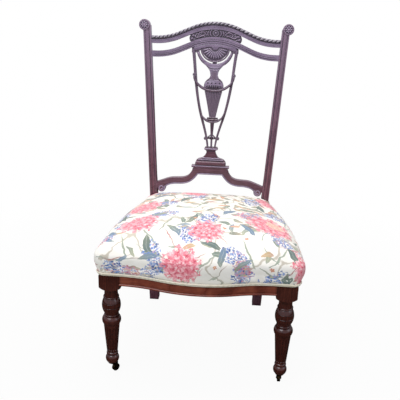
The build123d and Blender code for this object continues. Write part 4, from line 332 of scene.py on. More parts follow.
def polished_mahogany(name, grain, deep, middle, pale, figure=0.25, gloss=0.30, sky_sheen=None, edge_wear_and_highlight=None):
    """French-polished mahogany: long streaks and short dark pores along the grain, broad ribbon figure,
    dirt and painted shade dark in the hollows, a soft shine, duller where it is worn, a painted grey lilac
    sky reflection higher up (low and high in metres, colour, share), and edges paler from wear and painted
    highlight."""
    material, shader, spot = begin(name)
    along = add(spot, "Mapping", {"Rotation": GRAIN_TURNS[grain], "Vector": spot}).outputs[0]
    # Streaks about 3 mm wide and 60 mm long
    streaks = grained(along, (16.0, 330.0, 330.0), 5.0, Roughness=0.62)
    # Ribbon figure about 25 mm broad
    ribbon = grained(along, (22.0, 14.0, 14.0), 3.0, Distortion=0.8)
    # Pores about 0.6 mm wide and 8 mm long, drawn coarser than the wood has them so that they show
    pores = grained(along, (120.0, 1500.0, 1500.0), 2.0)
    tone = streaks + (ribbon - streaks) * figure
    colour = ramp(tone, ((0.28, deep), (0.5, middle), (0.72, pale)))
    # Painted sky reflection: the colour turns grey lilac higher up
    if sky_sheen:
        low, high, code, share = sky_sheen
        height = parts_of(spot)[2]
        colour = paint_over(colour, mapped(height, low, high, 0.0, share), code)
    # Painted shade and some dirt darken the hollows (ambient occlusion); the dark pores share this colour
    hollow = add(spot, "AmbientOcclusion", {"Distance": 0.006}, samples=6).outputs["AO"]
    dirt_and_shade = mapped(hollow, 0.35, 0.92, 0.85, 0.0)
    pitted = mapped(pores, 0.33, 0.43, 1.0, 0.0) * 0.45
    colour = paint_over(colour, pitted.step("MAXIMUM", dirt_and_shade), "#160c0c")
    # Edges paler from wear and a painted highlight
    if edge_wear_and_highlight:
        edge = add(spot, "AmbientOcclusion", {"Distance": 0.0028}, samples=6, inside=True).outputs["AO"]
        colour = paint_over(colour, mapped(edge, 0.30, 0.72, 0.34, 0.0), edge_wear_and_highlight)
    plug(shader, {
        "IOR": 1.5, "Coat Weight": 0.25, "Coat Roughness": 0.22,
        "Base Color": colour,
        "Roughness": mapped(ribbon, 0.3, 0.7, gloss, gloss + 0.2),
        "Normal": bump(streaks, 0.25, 0.0003),
    })
    return material


def plain_wood(name, deep, pale):
    """Unpolished beech: short pale flecks along the grain, dry and dull."""
    material, shader, spot = begin(name)
    flecks = grained(spot, (30.0, 300.0, 300.0), 4.0)
    plug(shader, {
        "Roughness": 0.75,
        "Base Color": ramp(flecks, ((0.3, deep), (0.7, pale))),
        "Normal": bump(flecks, 0.3, 0.0003),
    })
    return material


def aged_metal(name, deep, pale, rough):
    """Handled metal gone dark: brighter where it is worn smooth, dull and brown elsewhere."""
    material, shader, spot = begin(name)
    # Patches about 4 mm across
    patch = add(spot, "TexNoise", {"Scale": 250.0, "Detail": 4.0, "Vector": spot}).outputs["Fac"]
    plug(shader, {
        "Metallic": 1.0,
        "Base Color": ramp(patch, ((0.35, deep), (0.68, pale))),
        "Roughness": mapped(patch, 0.3, 0.7, rough + 0.15, rough),
        "Normal": bump(patch, 0.2, 0.0002),
    })
    return material


def coarse_cloth(name, deep, pale, thread):
    """Plain woven cloth of this thread spacing in millimetres: threads that catch the light in turn."""
    material, shader, spot = begin(name)
    rows, columns = threads(spot, MM_BANDS / (2 * thread), 0.6, 1.0)
    weave = rows * columns
    plug(shader, {
        "Roughness": 0.9,
        "Base Color": ramp(weave, ((0.05, deep), (0.6, pale))),
        "Normal": bump(weave, 0.5, 0.0005),
    })
    return material


# The printed cloth. Sizes are in millimetres, and a motif is left out where its chance isn't below `chosen`
def scattered(cloth, cell, shift, random):
    """Motifs one to a cell of this size: the way from a motif's middle, and its chances."""
    moved = add(cloth, "VectorMath", {1: (shift, shift * 0.61, 0), 0: cloth}, operation="ADD").outputs[0]
    grid = scaled(moved, 1 / cell)
    cells = add(cloth, "TexVoronoi", {"Scale": 1.0, "Randomness": random, "Vector": grid},
                voronoi_dimensions="2D").outputs
    away = add(cloth, "VectorMath", {0: grid, 1: cells["Position"]}, operation="SUBTRACT").outputs[0]
    chance = add(cloth, "SeparateColor", {"Color": cells["Color"]}).outputs
    return scaled(away, cell), [Field(part) for part in chance]


def polar(away):
    """Length and angle of a way from a motif's middle."""
    x, y, _ = parts_of(away)
    return length_of(away), y.step("ARCTAN2", x)


def turned(away, chance):
    """Parts of a way along and across a motif that lies any way round."""
    made = add(away, "VectorRotate", {"Center": (0, 0, 0), "Vector": away, "Angle": chance * FULL_TURN},
               rotation_type="Z_AXIS")
    return parts_of(made.outputs[0])[:2]


def below(value, limit, soft):
    """Soft-edged mask that is 1 where the value is under its limit."""
    return mapped(limit - value, 0.0, soft)


def full_blooms(ground, cloth, cell, shift, radius, petals, chosen, stops):
    """Full loose blooms of several rows of frayed petals, each row set between the petals inside it."""
    away, chance = scattered(cloth, cell, shift, 0.7)
    length, angle = polar(away)
    fray = Field(add(cloth, "TexNoise", {"Scale": 0.16, "Detail": 2.0, "Vector": cloth}).outputs["Fac"])
    size = chance[1] * (radius * 0.5) + radius * 0.7
    share = length / size + fray * 0.5 - 0.25
    rows = share * 3.4
    row = rows.step("FLOOR")
    ridge = abs((angle * (petals / 2) + row * 1.9 + chance[2] * 6.0).step("SINE"))
    tone = (rows - row) * 0.45 + ridge * 0.4 + fray * 0.5 - 0.15
    mask = below(share, ridge * 0.30 + 0.74, 0.05) * (chance[0] < chosen)
    return paint_over(ground, mask, ramp(tone, stops))


def small_flowers(ground, cloth, cell, shift, radius, petals, chosen, colour, eye):
    """Small open flowers with an eye."""
    away, chance = scattered(cloth, cell, shift, 0.9)
    length, angle = polar(away)
    wave = abs((angle * (petals / 2) + chance[2]).step("SINE"))
    here = chance[0] < chosen
    flower = below(length, wave * (radius * 0.5) + radius * 0.55, 0.8) * here
    heart = below(length, radius * 0.3, 0.6) * here
    return paint_over(paint_over(ground, flower, colour), heart, eye)


def sprays(ground, cloth, cell, shift, long, wide, chosen, stops):
    """Long loose sprays of small florets lying every way."""
    away, chance = scattered(cloth, cell, shift, 0.8)
    x, y = turned(away, chance[2])
    along, across = x / long, y / wide
    head = below(along * along + across * across, 1.0, 0.7)
    floret, hue = scattered(cloth, 6.0, shift, 0.9)
    length, angle = polar(floret)
    wave = abs((angle * 2.5 + hue[2]).step("SINE"))
    petal = below(length, wave * 1.5 + 2.4, 0.9)
    shown = hue[1] * 0.75 < head
    return paint_over(ground, petal * (chance[0] < chosen) * shown, ramp(hue[0], stops))


def leaves(ground, cloth, cell, shift, long, wide, chosen, stops):
    """Pointed leaves lying every way, with a pale midrib and a tone that changes along them."""
    away, chance = scattered(cloth, cell, shift, 0.95)
    x, y = turned(away, chance[2])
    along = x / long
    square = along * along
    across = abs(square * (wide * 0.8) + y)
    here = below(across, (1.0 - square) * wide, 0.8) * (chance[0] < chosen)
    ground = paint_over(ground, here, ramp(along * 0.25 + chance[1], stops))
    return paint_over(ground, here * below(across, 0.5, 0.4) * 0.5, "#e6e4d8")


def stems(ground, cloth, reach, seed, colour):
    """Thin winding stems."""
    sockets = {"Vector": scaled(cloth, 1 / reach), "Scale": 1.0, "Detail": 1.5, "W": seed}
    drift = Field(add(cloth, "TexNoise", sockets, noise_dimensions="4D").outputs["Fac"])
    off = abs(drift - 0.5)
    return paint_over(ground, below(off, 0.010, 0.006) * 0.8, colour)


def printed_cotton(name):
    """Glazed cotton with printed flowers: soft colours on cream, a fine even weave and a faint glaze."""
    material, shader, _ = begin(name)
    flat = scaled(add(shader, "UVMap", uv_map="cloth").outputs["UV"], 1 / MM)
    soft = add(shader, "TexNoise", {"Scale": 0.05, "Detail": 3.0, "Vector": flat}).outputs
    push = add(shader, "VectorMath", {1: (0.5, 0.5, 0.5), 0: soft["Color"]}, operation="SUBTRACT").outputs[0]
    cloth = add(shader, "VectorMath", {0: flat, 1: scaled(push, 14.0)}, operation="ADD").outputs[0]
    # Foliage thickens towards the back of the seat
    dense = mapped(parts_of(flat)[1], -150.0, 40.0, 0.15, 1.0)
    ground = ramp(soft["Fac"], ((0.3, "#e9e5da"), (0.7, "#f1eee6")))
    for draw, *facts in (
        (stems, 130.0, 7.1, "#b3aa98"),
        (leaves, 40.0, 401.0, 19.0, 6.6, dense,
         ((0.1, "#83887a"), (0.4, "#b0a48e"), (0.7, "#8f9a88"), (1.0, "#b58a7c"))),
        (leaves, 74.0, 131.0, 64.0, 2.4, 0.85,
         ((0.1, "#8b9985"), (0.5, "#9d9a86"), (0.8, "#94a396"), (1.0, "#b87672"))),
        (leaves, 61.0, 517.0, 50.0, 1.7, 0.6, ((0.1, "#a8534f"), (0.5, "#8f9a84"), (0.9, "#7f8f80"))),
        (leaves, 58.0, 11.0, 21.0, 6.0, 0.55, ((0.1, "#7c8a7e"), (0.5, "#a8ab92"), (0.9, "#7f92a2"))),
        (leaves, 46.0, 301.0, 19.0, 6.0, dense, ((0.1, "#d0a086"), (0.5, "#c2ab84"), (0.9, "#b58580"))),
        (sprays, 108.0, 37.0, 42.0, 26.0, 0.65,
         ((0.1, "#39568f"), (0.4, "#5f7dbb"), (0.75, "#8ea4cf"), (0.95, "#b795ac"))),
        (sprays, 132.0, 171.0, 36.0, 22.0, 0.5,
         ((0.1, "#bf6f7e"), (0.4, "#dd9aa4"), (0.7, "#8da0c6"), (0.95, "#d3a884"))),
        (leaves, 86.0, 71.0, 30.0, 8.5, 0.6, ((0.1, "#62736f"), (0.5, "#8f967f"), (0.9, "#70869a"))),
        (small_flowers, 66.0, 23.0, 5.5, 5, 0.3, "#c98a70", "#e9d79c"),
        (full_blooms, 158.0, 53.0, 52.0, 9, 0.68,
         ((0.05, "#a63650"), (0.3, "#d65f70"), (0.6, "#e98c98"), (0.95, "#f7d6d6"))),
        (full_blooms, 190.0, 211.0, 26.0, 7, 0.55, ((0.05, "#b9776a"), (0.4, "#dfa896"), (0.9, "#f1dac8"))),
    ):
        ground = draw(ground, cloth, *facts)
    # Threads drawn 1.4 mm apart, coarser than the cloth has them, so that they show
    rows, columns = threads(flat, 0.22, 0.4, 2.0)
    plug(shader, {
        "Roughness": 0.72, "Sheen Weight": 0.15, "Sheen Roughness": 0.5,
        "Base Color": ground,
        "Normal": bump(rows + columns, 0.12, 0.0004),
    })
    return material


def both(*names):
    """Names of the left and the right node of each kind."""
    return tuple(f"{side}_{name}" for name in names for side in ("left", "right"))


# Grain, three tones, ribbon figure, gloss, painted sky reflection higher up, and edge colour paler from wear
# and painted highlight
MAHOGANY = {
    "post": ("z", "#4a2c36", "#6c424d", "#8a606b", 0.3, 0.24, (0.45, 0.80, "#85718a", 0.65), "#a08ca2"),
    # The lilac grey in the back rails' tones is a painted sky reflection over the wood's own colour
    "back": ("x", "#5c4a5e", "#7e6c84", "#98869e", 0.35, 0.24, None, "#b4a6bc"),
    "splat": ("z", "#3c2a36", "#543d4a", "#6e5866", 0.3, 0.24, (0.60, 0.80, "#7d6e88", 0.5), "#9a8a9e"),
    "tablet": ("x", "#33293a", "#483c4c", "#5c5062", 0.3, 0.4),
    "rope": ("x", "#6a6470", "#8a848e", "#a49ea6", 0.3, 0.26),
    "low": ("x", "#42242e", "#5c3642", "#785060", 0.4, 0.24, None, "#9c869a"),
    "front": ("x", "#4c1f15", "#7a3624", "#a25636", 0.6, 0.22),
    "side": ("y", "#43221a", "#683626", "#8a4f36", 0.4),
    "leg": ("z", "#290f0a", "#431b13", "#5e2a1c", 0.3, 0.1),
    # Dark tones laid on thin mouldings, dots and discs: painted shade in grooves, holes and deep grounds
    "groove_shade": ("z", "#241a2a", "#33273a", "#43364a", 0.2, 0.5),
}
FINISHES = {
    **{part: polished_mahogany(f"polished_mahogany_{part}", *facts) for part, facts in MAHOGANY.items()},
    "beech": plain_wood("raw_beech", "#8d6a45", "#b48c60"),
    "brass": aged_metal("darkened_brass", "#17110d", "#4a3922", 0.4),
    "iron": aged_metal("dark_iron", "#1d1b1b", "#3c3a39", 0.45),
    "steel": aged_metal("dull_steel", "#4a4a4c", "#77777a", 0.4),
    "tack": aged_metal("blued_tack_steel", "#20232c", "#3d434f", 0.35),
    "spring": aged_metal("coppered_spring_wire", "#5b3a28", "#8c5f42", 0.35),
    "jute": coarse_cloth("jute_webbing", "#7b6240", "#b3966a", 2.4),
    "hessian": coarse_cloth("hessian", "#7d6743", "#b59b6d", 1.8),
    "calico": coarse_cloth("black_calico", "#0b0b0c", "#222224", 1.2),
    "wadding": coarse_cloth("cotton_wadding_fibres", "#d9d5cb", "#eeebe4", 4.0),
    "piping": coarse_cloth("piping_cotton", "#e2d9c2", "#f8f2e2", 1.1),
    "chintz": printed_cotton("printed_glazed_cotton"),
}
NODE_FINISHES = {
    "post": both("back_post"),
    "back": ("crest_rail", "mid_back_rail"),
    "tablet": ("carved_tablet",),
    "splat": ("back_splat",),
    "low": ("splat_pedestal", "lower_back_rail"),
    "front": ("front_seat_rail",),
    "side": both("side_rail"),
    "leg": both("front_leg"),
    "beech": ("back_seat_rail", *both("front_corner_block", "rear_corner_block")),
    "brass": both("castor_plate", "castor_fork", "castor_wheel"),
    "iron": both("castor_pivot", "castor_axle"),
    "steel": ("corner_block_screws", *both("castor_screws")),
    "tack": ("webbing_tacks", "dust_cover_tacks"),
    "spring": ("seat_springs",),
    "jute": ("webbing_front_to_back", "webbing_side_to_side"),
    "hessian": ("spring_hessian",),
    "calico": ("dust_cover",),
    "wadding": ("cotton_wadding", "hair_stuffing", "fibre_stuffing"),
    "piping": ("double_piping",),
    "chintz": ("seat_cover",),
}


def finish_in(piece, finish):
    """Gives an object one material."""
    piece.data.materials.clear()
    piece.data.materials.append(FINISHES[finish])


for finish, names in NODE_FINISHES.items():
    for name in names:
        finish_in(nodes[name], finish)


# Carving, modelled on the back's own plane: out to the right, up the rake, and forward of the posts
def dress(piece, finish, smooth=35.0):
    """Gives a finished piece its material, smooth shading and the body that it rides on."""
    finish_in(piece, finish)
    choose(piece)
    bpy.ops.object.shade_smooth_by_angle(angle=radians(smooth))
    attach(piece, "chair")
    return piece


def modify(piece, kind, **settings):
    """Applies a modifier with these settings."""
    choose(piece)
    set_all(piece.modifiers.new(kind, kind), **settings)
    bpy.ops.object.modifier_apply(modifier=kind)


def carved_lobe(taper):
    """One carved leaf or bead of unit size: a half ball along +Y, narrowed towards its root."""
    bpy.ops.mesh.primitive_uv_sphere_add(segments=12, ring_count=8, radius=1.0, location=(0, 0, 0))
    lobe = bpy.context.object
    bpy.ops.object.mode_set(mode="EDIT")
    bpy.ops.mesh.select_all(action="SELECT")
    bpy.ops.mesh.bisect(plane_co=(0, 0, -0.25), plane_no=(0, 0, 1), clear_inner=True, use_fill=True)
    bpy.ops.object.mode_set(mode="OBJECT")
    for corner in lobe.data.vertices:
        share = (corner.co.y + 1) / 2
        corner.co.x *= taper + (1 - taper) * share
    return lobe


def lay(name, master, places, finish):
    """Copies a lobe to places (out, up, forward, turn, half width, half length, height) as one piece."""
    made = []
    for out, high, forward, turn, wide, long, tall in places:
        mesh = master.data.copy()
        mesh.transform(
            BACK
            @ Matrix.Translation(Vector((out, high, forward)) * MM)
            @ Matrix.Rotation(radians(turn), 4, "Z")
            @ Matrix.Diagonal((wide * MM, long * MM, tall * MM, 1))
        )
        made.append(place_object(name, mesh))
    piece = made[0]
    choose(piece)
    for copy in made[1:]:
        copy.select_set(True)
    if len(made) > 1:
        bpy.ops.object.join()
    piece.name = name
    return dress(piece, finish, smooth=60.0)


def sweep(name, runs, sides):
    """Round rods along runs of (x, y, z, radius), as one mesh in the units of the runs."""
    curve = bpy.data.curves.new(name, "CURVE")
    set_all(curve, dimensions="3D", bevel_depth=1.0, bevel_resolution=sides, use_fill_caps=True)
    for run in runs:
        line = curve.splines.new("POLY")
        line.points.add(len(run) - 1)
        for point, (x, y, z, radius) in zip(line.points, run):
            point.co = (x, y, z, 1.0)
            point.radius = radius
    choose(place_object(name, curve))
    bpy.ops.object.convert(target="MESH")
    return bpy.context.object


def moulding(name, runs, finish, flat=0.6, forward=0.0, sides=2):
    """Rounded mouldings along runs of (out, up, radius), flattened towards their face."""
    piece = sweep(name, [[(out, high, 0.0, radius) for out, high, radius in run] for run in runs], sides)
    piece.data.transform(
        BACK @ Matrix.Translation((0, 0, forward * MM)) @ Matrix.Diagonal((MM, MM, flat * MM, 1))
    )
    return dress(piece, finish, smooth=50.0)


def between(points, steps=4):
    """Points along a smooth line through the given ones (Catmull-Rom), each a tuple."""
    out = []
    last = len(points) - 1
    for number in range(last):
        before, here, there, after = (points[max(0, min(last, number + k))] for k in (-1, 0, 1, 2))
        for step in range(steps):
            t = step / steps
            out.append(tuple(
                b + 0.5 * t * (c - a + t * (2 * a - 5 * b + 4 * c - d + t * (3 * b - a - 3 * c + d)))
                for a, b, c, d in zip(before, here, there, after)
            ))
    out.append(points[last])
    return out


def relief(name, outline, low, high, finish, edge=0.8):
    """A flat carved piece of this outline, between two distances forward, with eased edges."""
    mesh = bpy.data.meshes.new(name)
    mesh.from_pydata([(x * MM, y * MM, low * MM) for x, y in outline], [], [list(range(len(outline)))])
    piece = place_object(name, mesh)
    choose(piece)
    bpy.ops.object.mode_set(mode="EDIT")
    bpy.ops.mesh.select_all(action="SELECT")
    bpy.ops.mesh.extrude_region_move(TRANSFORM_OT_translate={"value": (0, 0, (high - low) * MM)})
    bpy.ops.mesh.select_all(action="SELECT")
    bpy.ops.mesh.normals_make_consistent(inside=False)
    bpy.ops.object.mode_set(mode="OBJECT")
    modify(piece, "BEVEL", width=edge * MM, segments=2, limit_method="ANGLE", angle_limit=radians(50))
    piece.data.transform(BACK)
    return dress(piece, finish)


def mirrored(half):
    """Outline of a half given as (out, drawn height): down the right, then up the left."""
    right = [(x, up(z)) for x, z in half]
    return right + [(-x, y) for x, y in reversed(right)]


def hung(half, *thick):
    """Line from left to right of a half given as (out, drawn height) from its end inwards."""
    left = [(-x, up(z), *own, *thick) for x, z, *own in half]
    return left + [(-x, *rest) for x, *rest in reversed(left[:-1])]


def bar(half, height, radius):
    """A straight rod across the middle of the back at a drawn height."""
    return [(-half, up(height), radius), (half, up(height), radius)]


def curl(side, out, high, reach, thick, start, turns, fall, thin, steps, squeeze=1.0):
    """A curl that winds in to its eye and loses these shares of its reach and thickness."""
    run = []
    for step in range(steps + 1):
        share = step / steps
        turn = pi * (start + 2 * turns * share)
        far = reach * (1 - fall * share)
        run.append((side * (out + far * cos(turn) * squeeze), high + far * sin(turn),
                    thick * (1 - thin * share)))
    return run


aim_camera()
light_studio()
lay_floor()
leaf = carved_lobe(0.45)
bead = carved_lobe(1.0)

# Rope twist along the crest over a dark line of painted shade, and two grooves along the middle rail drawn
# as dark lines of painted shade
ROPE_LOBES = 32
ROPE_HALF = 181.0
ROPE_TILT = 68.0
RAIL_STEPS = 60
rope_places = []
for number in range(ROPE_LOBES):
    out = ROPE_HALF * ((2 * number + 1) / ROPE_LOBES - 1)
    drop = crest_drop(out)
    slope = degrees(atan2(drop - crest_drop(out + 1.0), 1.0))
    rope_places.append((out, CREST_TOP - ROPE_RADIUS + 0.4 - drop, -1.2, slope - ROPE_TILT, 3.1, 7.6, 5.0))
lay("crest_rope_twist", bead, rope_places, "rope")


def along_rail(half, top, drop, radius):
    """A line along a back rail, out to this half length."""
    places = [half * step / RAIL_STEPS for step in range(-RAIL_STEPS, RAIL_STEPS + 1)]
    return [(out, top - drop(out), radius) for out in places]


moulding("crest_rope_shade_line", [along_rail(ROPE_HALF, CREST_TOP - ROPE_RADIUS - 3.2, crest_drop, 2.4)], "groove_shade",
         0.9, -1.2, 3)
moulding("mid_rail_grooves", [
    along_rail(MID_SPAN + 6.0, MID_TOP - MID_HEIGHT + lift, mid_drop, radius)
    for lift, radius in ((4.4, 1.0), (9.6, 0.8))
], "groove_shade", 0.5, -1.2)

# Lines along the inner edge of the posts, dark with painted shade
POST_LINE_IN = 4.0
moulding("post_lines", [
    [(side * (post_inner(high) + POST_LINE_IN), high, 0.7) for high in (up(430.0), up(620.0), up(805.0))]
    for side in (-1, 1)
], "groove_shade", 0.5, -0.2)

# Flowers on the scrolls of the posts: eight petals, a ring of beads and an eye, on a dark disc of painted
# shade
PETAL_STEP = 45.0
PETAL_REACH, BEAD_REACH = 6.6, 12.2
SCROLL_BEADS = 14
for side_name, side in (("left", -1), ("right", 1)):
    middle = side * SCROLL_OUT
    places = []
    for number in range(8):
        angle = radians(PETAL_STEP * number)
        places.append((middle + PETAL_REACH * sin(angle), SCROLL_UP + PETAL_REACH * cos(angle), 2.0,
                       -PETAL_STEP * number, 2.1, 3.3, 1.8))
    for number in range(SCROLL_BEADS):
        angle = 2 * pi * (number + 0.5) / SCROLL_BEADS
        places.append((middle + BEAD_REACH * sin(angle), SCROLL_UP + BEAD_REACH * cos(angle), 2.0, 0.0,
                       1.6, 1.6, 1.3))
    places.append((middle, SCROLL_UP, 3.2, 0.0, 2.6, 2.6, 1.8))
    lay(f"{side_name}_scroll_flower", bead, places, "back")
    lay(f"{side_name}_scroll_shade_disc", bead, [(middle, SCROLL_UP, 2.0, 0.0, 10.6, 10.6, 0.5)], "groove_shade")

# Carving of the tablet under the crest: a ringed flower, curled petals, leaf scrolls, rolled ends
TABLET_MIDDLE = (CREST_TOP - CREST_HEIGHT + MID_TOP) / 2
FLOWER_RING = 7.6
# Out, lift and thickness along each line of the right half
TABLET_LINES = (
    ((9.6, 7.8, 0.7), (13.6, 5.8, 1.7), (15.8, 0.5, 2.1), (13.8, -5.6, 1.7), (10.0, -7.6, 0.7)),
    ((18.2, 7.4, 0.7), (21.4, 4.0, 1.6), (22.4, -1.5, 1.8), (19.6, -6.6, 0.8)),
    ((24.5, -5.8, 0.8), (29.5, 1.2, 1.8), (35.5, 5.8, 2.1), (43.0, 6.2, 1.9), (48.4, 2.6, 1.5),
     (46.2, -0.9, 1.2), (42.8, 0.6, 0.9)),
    ((30.0, -6.8, 0.8), (36.0, -3.8, 1.8), (43.0, -4.8, 2.0), (51.0, -5.4, 1.9), (57.2, -1.6, 1.7),
     (56.0, 2.9, 1.3), (52.4, 2.2, 0.9)),
)
# Out, lift, turn, half width, half length and height of each leaf of the right half
TABLET_LEAVES = (
    (27.0, 5.4, 40, 1.7, 4.2, 1.9), (32.0, -1.6, 70, 1.5, 3.6, 1.7), (39.5, 1.0, 95, 1.6, 4.4, 1.8),
    (53.0, 6.4, 80, 2.0, 4.8, 2.1), (50.5, -1.4, 100, 1.5, 3.4, 1.7), (62.6, 3.8, 90, 3.9, 5.0, 3.0),
    (66.0, -3.4, 90, 4.3, 4.4, 3.2), (59.4, -7.0, 95, 2.2, 4.2, 2.2),
)


def on_tablet(side, out, lift):
    """Place of a point of the tablet's carving, which follows the crest."""
    return side * out, TABLET_MIDDLE - crest_drop(out) + lift


ring = [radians(15 * step) for step in range(25)]
curls = [[(FLOWER_RING * cos(turn), TABLET_MIDDLE + FLOWER_RING * sin(turn), 1.5) for turn in ring]]
places = [(0.0, TABLET_MIDDLE, -3.0, 0.0, 3.4, 3.4, 3.6)]
for side in (-1, 1):
    for line in TABLET_LINES:
        curls.append([(*on_tablet(side, out, lift), thick) for out, lift, thick in between(line, 5)])
    for out, lift, turn, *size in TABLET_LEAVES:
        places.append((*on_tablet(side, out, lift), -3.8, -side * turn, *size))
moulding("tablet_curls", curls, "back", 1.2, -3.2, 3)
lay("tablet_leaves", leaf, places, "back")

# Raised plate with its knob over the shell
PLATE_LOWER = ((57.0, 766.5), (44.0, 769.0), (39.0, 771.6), (26.0, 774.6), (12.0, 776.4), (8.6, 775.0),
               (6.6, 771.2), (3.4, 769.2))
plate_top = [(float(out), MID_TOP - MID_HEIGHT - 0.1 - mid_drop(out)) for out in range(-62, 63, 4)]
relief("plate_with_knob", plate_top + mirrored(PLATE_LOWER), -8.0, -2.2, "back", 0.9)

# Shell of rays hanging under the knob, on a dark ground within a plain rim
SHELL_RAYS = 12
RAY_STEP = 14.2
RAY_ROOT = 9.0
ground_turns = [radians(7.5 * step) for step in range(-11, 12)]
relief("shell_ground", [(36.0 * sin(turn), up(773.0) - 31.0 * cos(turn)) for turn in ground_turns],
       -6.0, -4.4, "tablet", 0.3)
places = []
for number in range(SHELL_RAYS):
    angle = radians((number + 0.5 - SHELL_RAYS / 2) * RAY_STEP)
    reach = 30.5 + 5.0 * sin(angle) ** 2
    middle = (RAY_ROOT + reach) / 2
    places.append((middle * sin(angle), up(774.5) - middle * cos(angle), -4.4,
                   180 + degrees(angle), 3.2, (reach - RAY_ROOT) / 2, 2.2))
lay("shell_rays", leaf, places, "back")
RIM = ((39.6, 768.0), (36.0, 758.6), (27.5, 748.6), (14.5, 741.8), (0.0, 739.6))
moulding("shell_rim", [between(hung(RIM, 2.1))], "splat", 1.0, -5.0, 3)

# The bow runs down into the urn's neck like a cup
CUP_OUTER = ((50.4, 760.5), (46.6, 753.4), (42.0, 746.0), (36.8, 739.3), (30.6, 733.6), (24.5, 729.2),
             (18.3, 723.1), (14.6, 718.6), (12.0, 713.6), (10.6, 705.0), (10.2, 694.0))
CUP_INNER = ((45.8, 764.6), (40.6, 756.0), (33.0, 746.2), (22.0, 738.8), (12.0, 735.0), (0.0, 733.6))
relief("bow_and_neck", mirrored(CUP_OUTER) + hung(CUP_INNER), -6.0, -0.6, "back", 1.7)
CUP_LINE = ((21.0, 726.6, 0.6), (11.0, 722.6, 0.9), (0.0, 721.6, 1.0))
CUP_FILLET = ((14.6, 718.8, 0.8), (0.0, 717.6, 1.3))
# A dark line of painted shade under the bow
moulding("cup_line", [between(hung(CUP_LINE))], "groove_shade", 0.6, -0.6)
moulding("cup_fillet", [between(hung(CUP_FILLET), 6)], "back", 1.0, -0.4)
moulding("neck_column", [[(0.0, up(z), radius) for z, radius in ((714.5, 8.4), (706.0, 8.0), (695.0, 8.6))]],
         "splat", 0.3, -0.8, 4)

# Rounded faces of the side strips and the stem
STRIP_LINE = ((61.5, 770.0), (57.4, 740.0), (50.4, 681.0), (37.5, 615.0), (21.7, 564.5), (14.5, 538.0),
              (10.7, 516.0))
STRIP_THICK, STRIP_TAPER = 4.6, 0.35
strips = []
for side in (-1, 1):
    strips.append(between([
        (side * out, up(height), STRIP_THICK - STRIP_TAPER * number)
        for number, (out, height) in enumerate(STRIP_LINE)
    ], 6))
strips.append([(0.0, up(586.0), 5.6), (0.0, up(560.0), 4.2), (0.0, up(540.0), 2.7), (0.0, up(516.0), 2.6)])
moulding("rounded_strips", strips, "splat", 0.7, -5.0, 3)

# Curls on the strips and at their feet: out, drawn height, reach and size of the eye
VOLUTES = ((56.6, 705.0, 5.4, 1.9), (18.6, 539.0, 4.4, 1.6))
moulding("volutes", [
    curl(side, out, up(height), reach, 0.28 * reach, 0.5, 1.6, 0.78, 0.35, 24, 0.95)
    for side in (-1, 1) for out, height, reach, _ in VOLUTES
], "splat", 1.0, -2.6)
lay("volute_eyes", bead, [
    (side * out, up(height), -3.4, 0.0, eye, eye, 2.4) for side in (-1, 1) for out, height, _, eye in VOLUTES
], "splat")

# Urn: domed lid with punched dots drawn as dark bumps of painted shade, and a leaf band on a dark strip of
# painted shade, fluted body, the bands that hang across it
LID = ((26.6, 672.5), (26.9, 679.0), (24.6, 685.2), (19.4, 689.6), (12.5, 692.0))
UPPER_BAND = ((56.4, 701.0), (55.0, 694.6), (51.4, 687.6), (45.4, 681.0), (36.0, 673.6), (25.4, 668.6),
              (12.0, 665.8), (0.0, 665.0))
LOWER_BAND = ((34.4, 607.5), (30.8, 600.0), (25.0, 592.8), (18.0, 587.2), (9.0, 584.2), (0.0, 583.4))
# Half width of the body, drawn height and thickness of the flutes
FLUTE_LINE = ((23.4, 664.0, 1.9), (17.6, 640.0, 1.45), (11.8, 614.0, 1.0), (7.6, 596.0, 0.7))
relief("urn_lid", mirrored(LID), -3.0, 1.4, "back", 1.6)
moulding("urn_neck_mouldings", [bar(13.4, 692.4, 1.9)], "back", 1.0, 0.2, 3)
lay("punched_band", bead, [(out, up(685.0), 1.5, 0.0, 2.2, 2.2, 0.6) for out in (-16.5, -5.6, 5.6, 16.5)],
    "groove_shade")
lay("leaf_band_shade_strip", bead, [(0.0, up(676.6), 1.0, 0.0, 25.5, 4.6, 0.9)], "groove_shade")
lay("leaf_band", leaf, [
    (out, up(676.8), 1.3, 180.0, 2.3, 4.2, 1.8) for out in (-21.6, -15.4, -9.2, -3.1, 3.1, 9.2, 15.4, 21.6)
], "splat")
moulding("urn_flutes", [
    [((number / 4.5 - 1) * out, up(height), thick) for out, height, thick in FLUTE_LINE]
    for number in range(10)
], "splat", 1.0, -1.2)
moulding("swags", [between(hung(UPPER_BAND, 3.2)), between(hung(LOWER_BAND, 2.5))], "splat", 1.0, 0.8, 3)
moulding("disc_rings", [bar(11.5, 595.0, 1.6), bar(13.6, 589.6, 2.9)], "splat", 1.0, 0.2, 3)

# Brackets and the leaf knot under the stem
moulding("stem_brackets", [
    between([(side * 15.8, up(537.6), 1.7), (side * 9.2, up(543.4), 1.9), (side * 2.6, up(549.4), 1.6)], 4)
    for side in (-1, 1)
], "splat", 1.0, -3.6)
lay("stem_leaves", leaf, [
    (0.0, up(540.4), -2.4, 180.0, 2.6, 6.4, 2.8), (-4.6, up(541.4), -3.0, 152.0, 2.3, 5.6, 2.4),
    (4.6, up(541.4), -3.0, 208.0, 2.3, 5.6, 2.4),
], "splat")

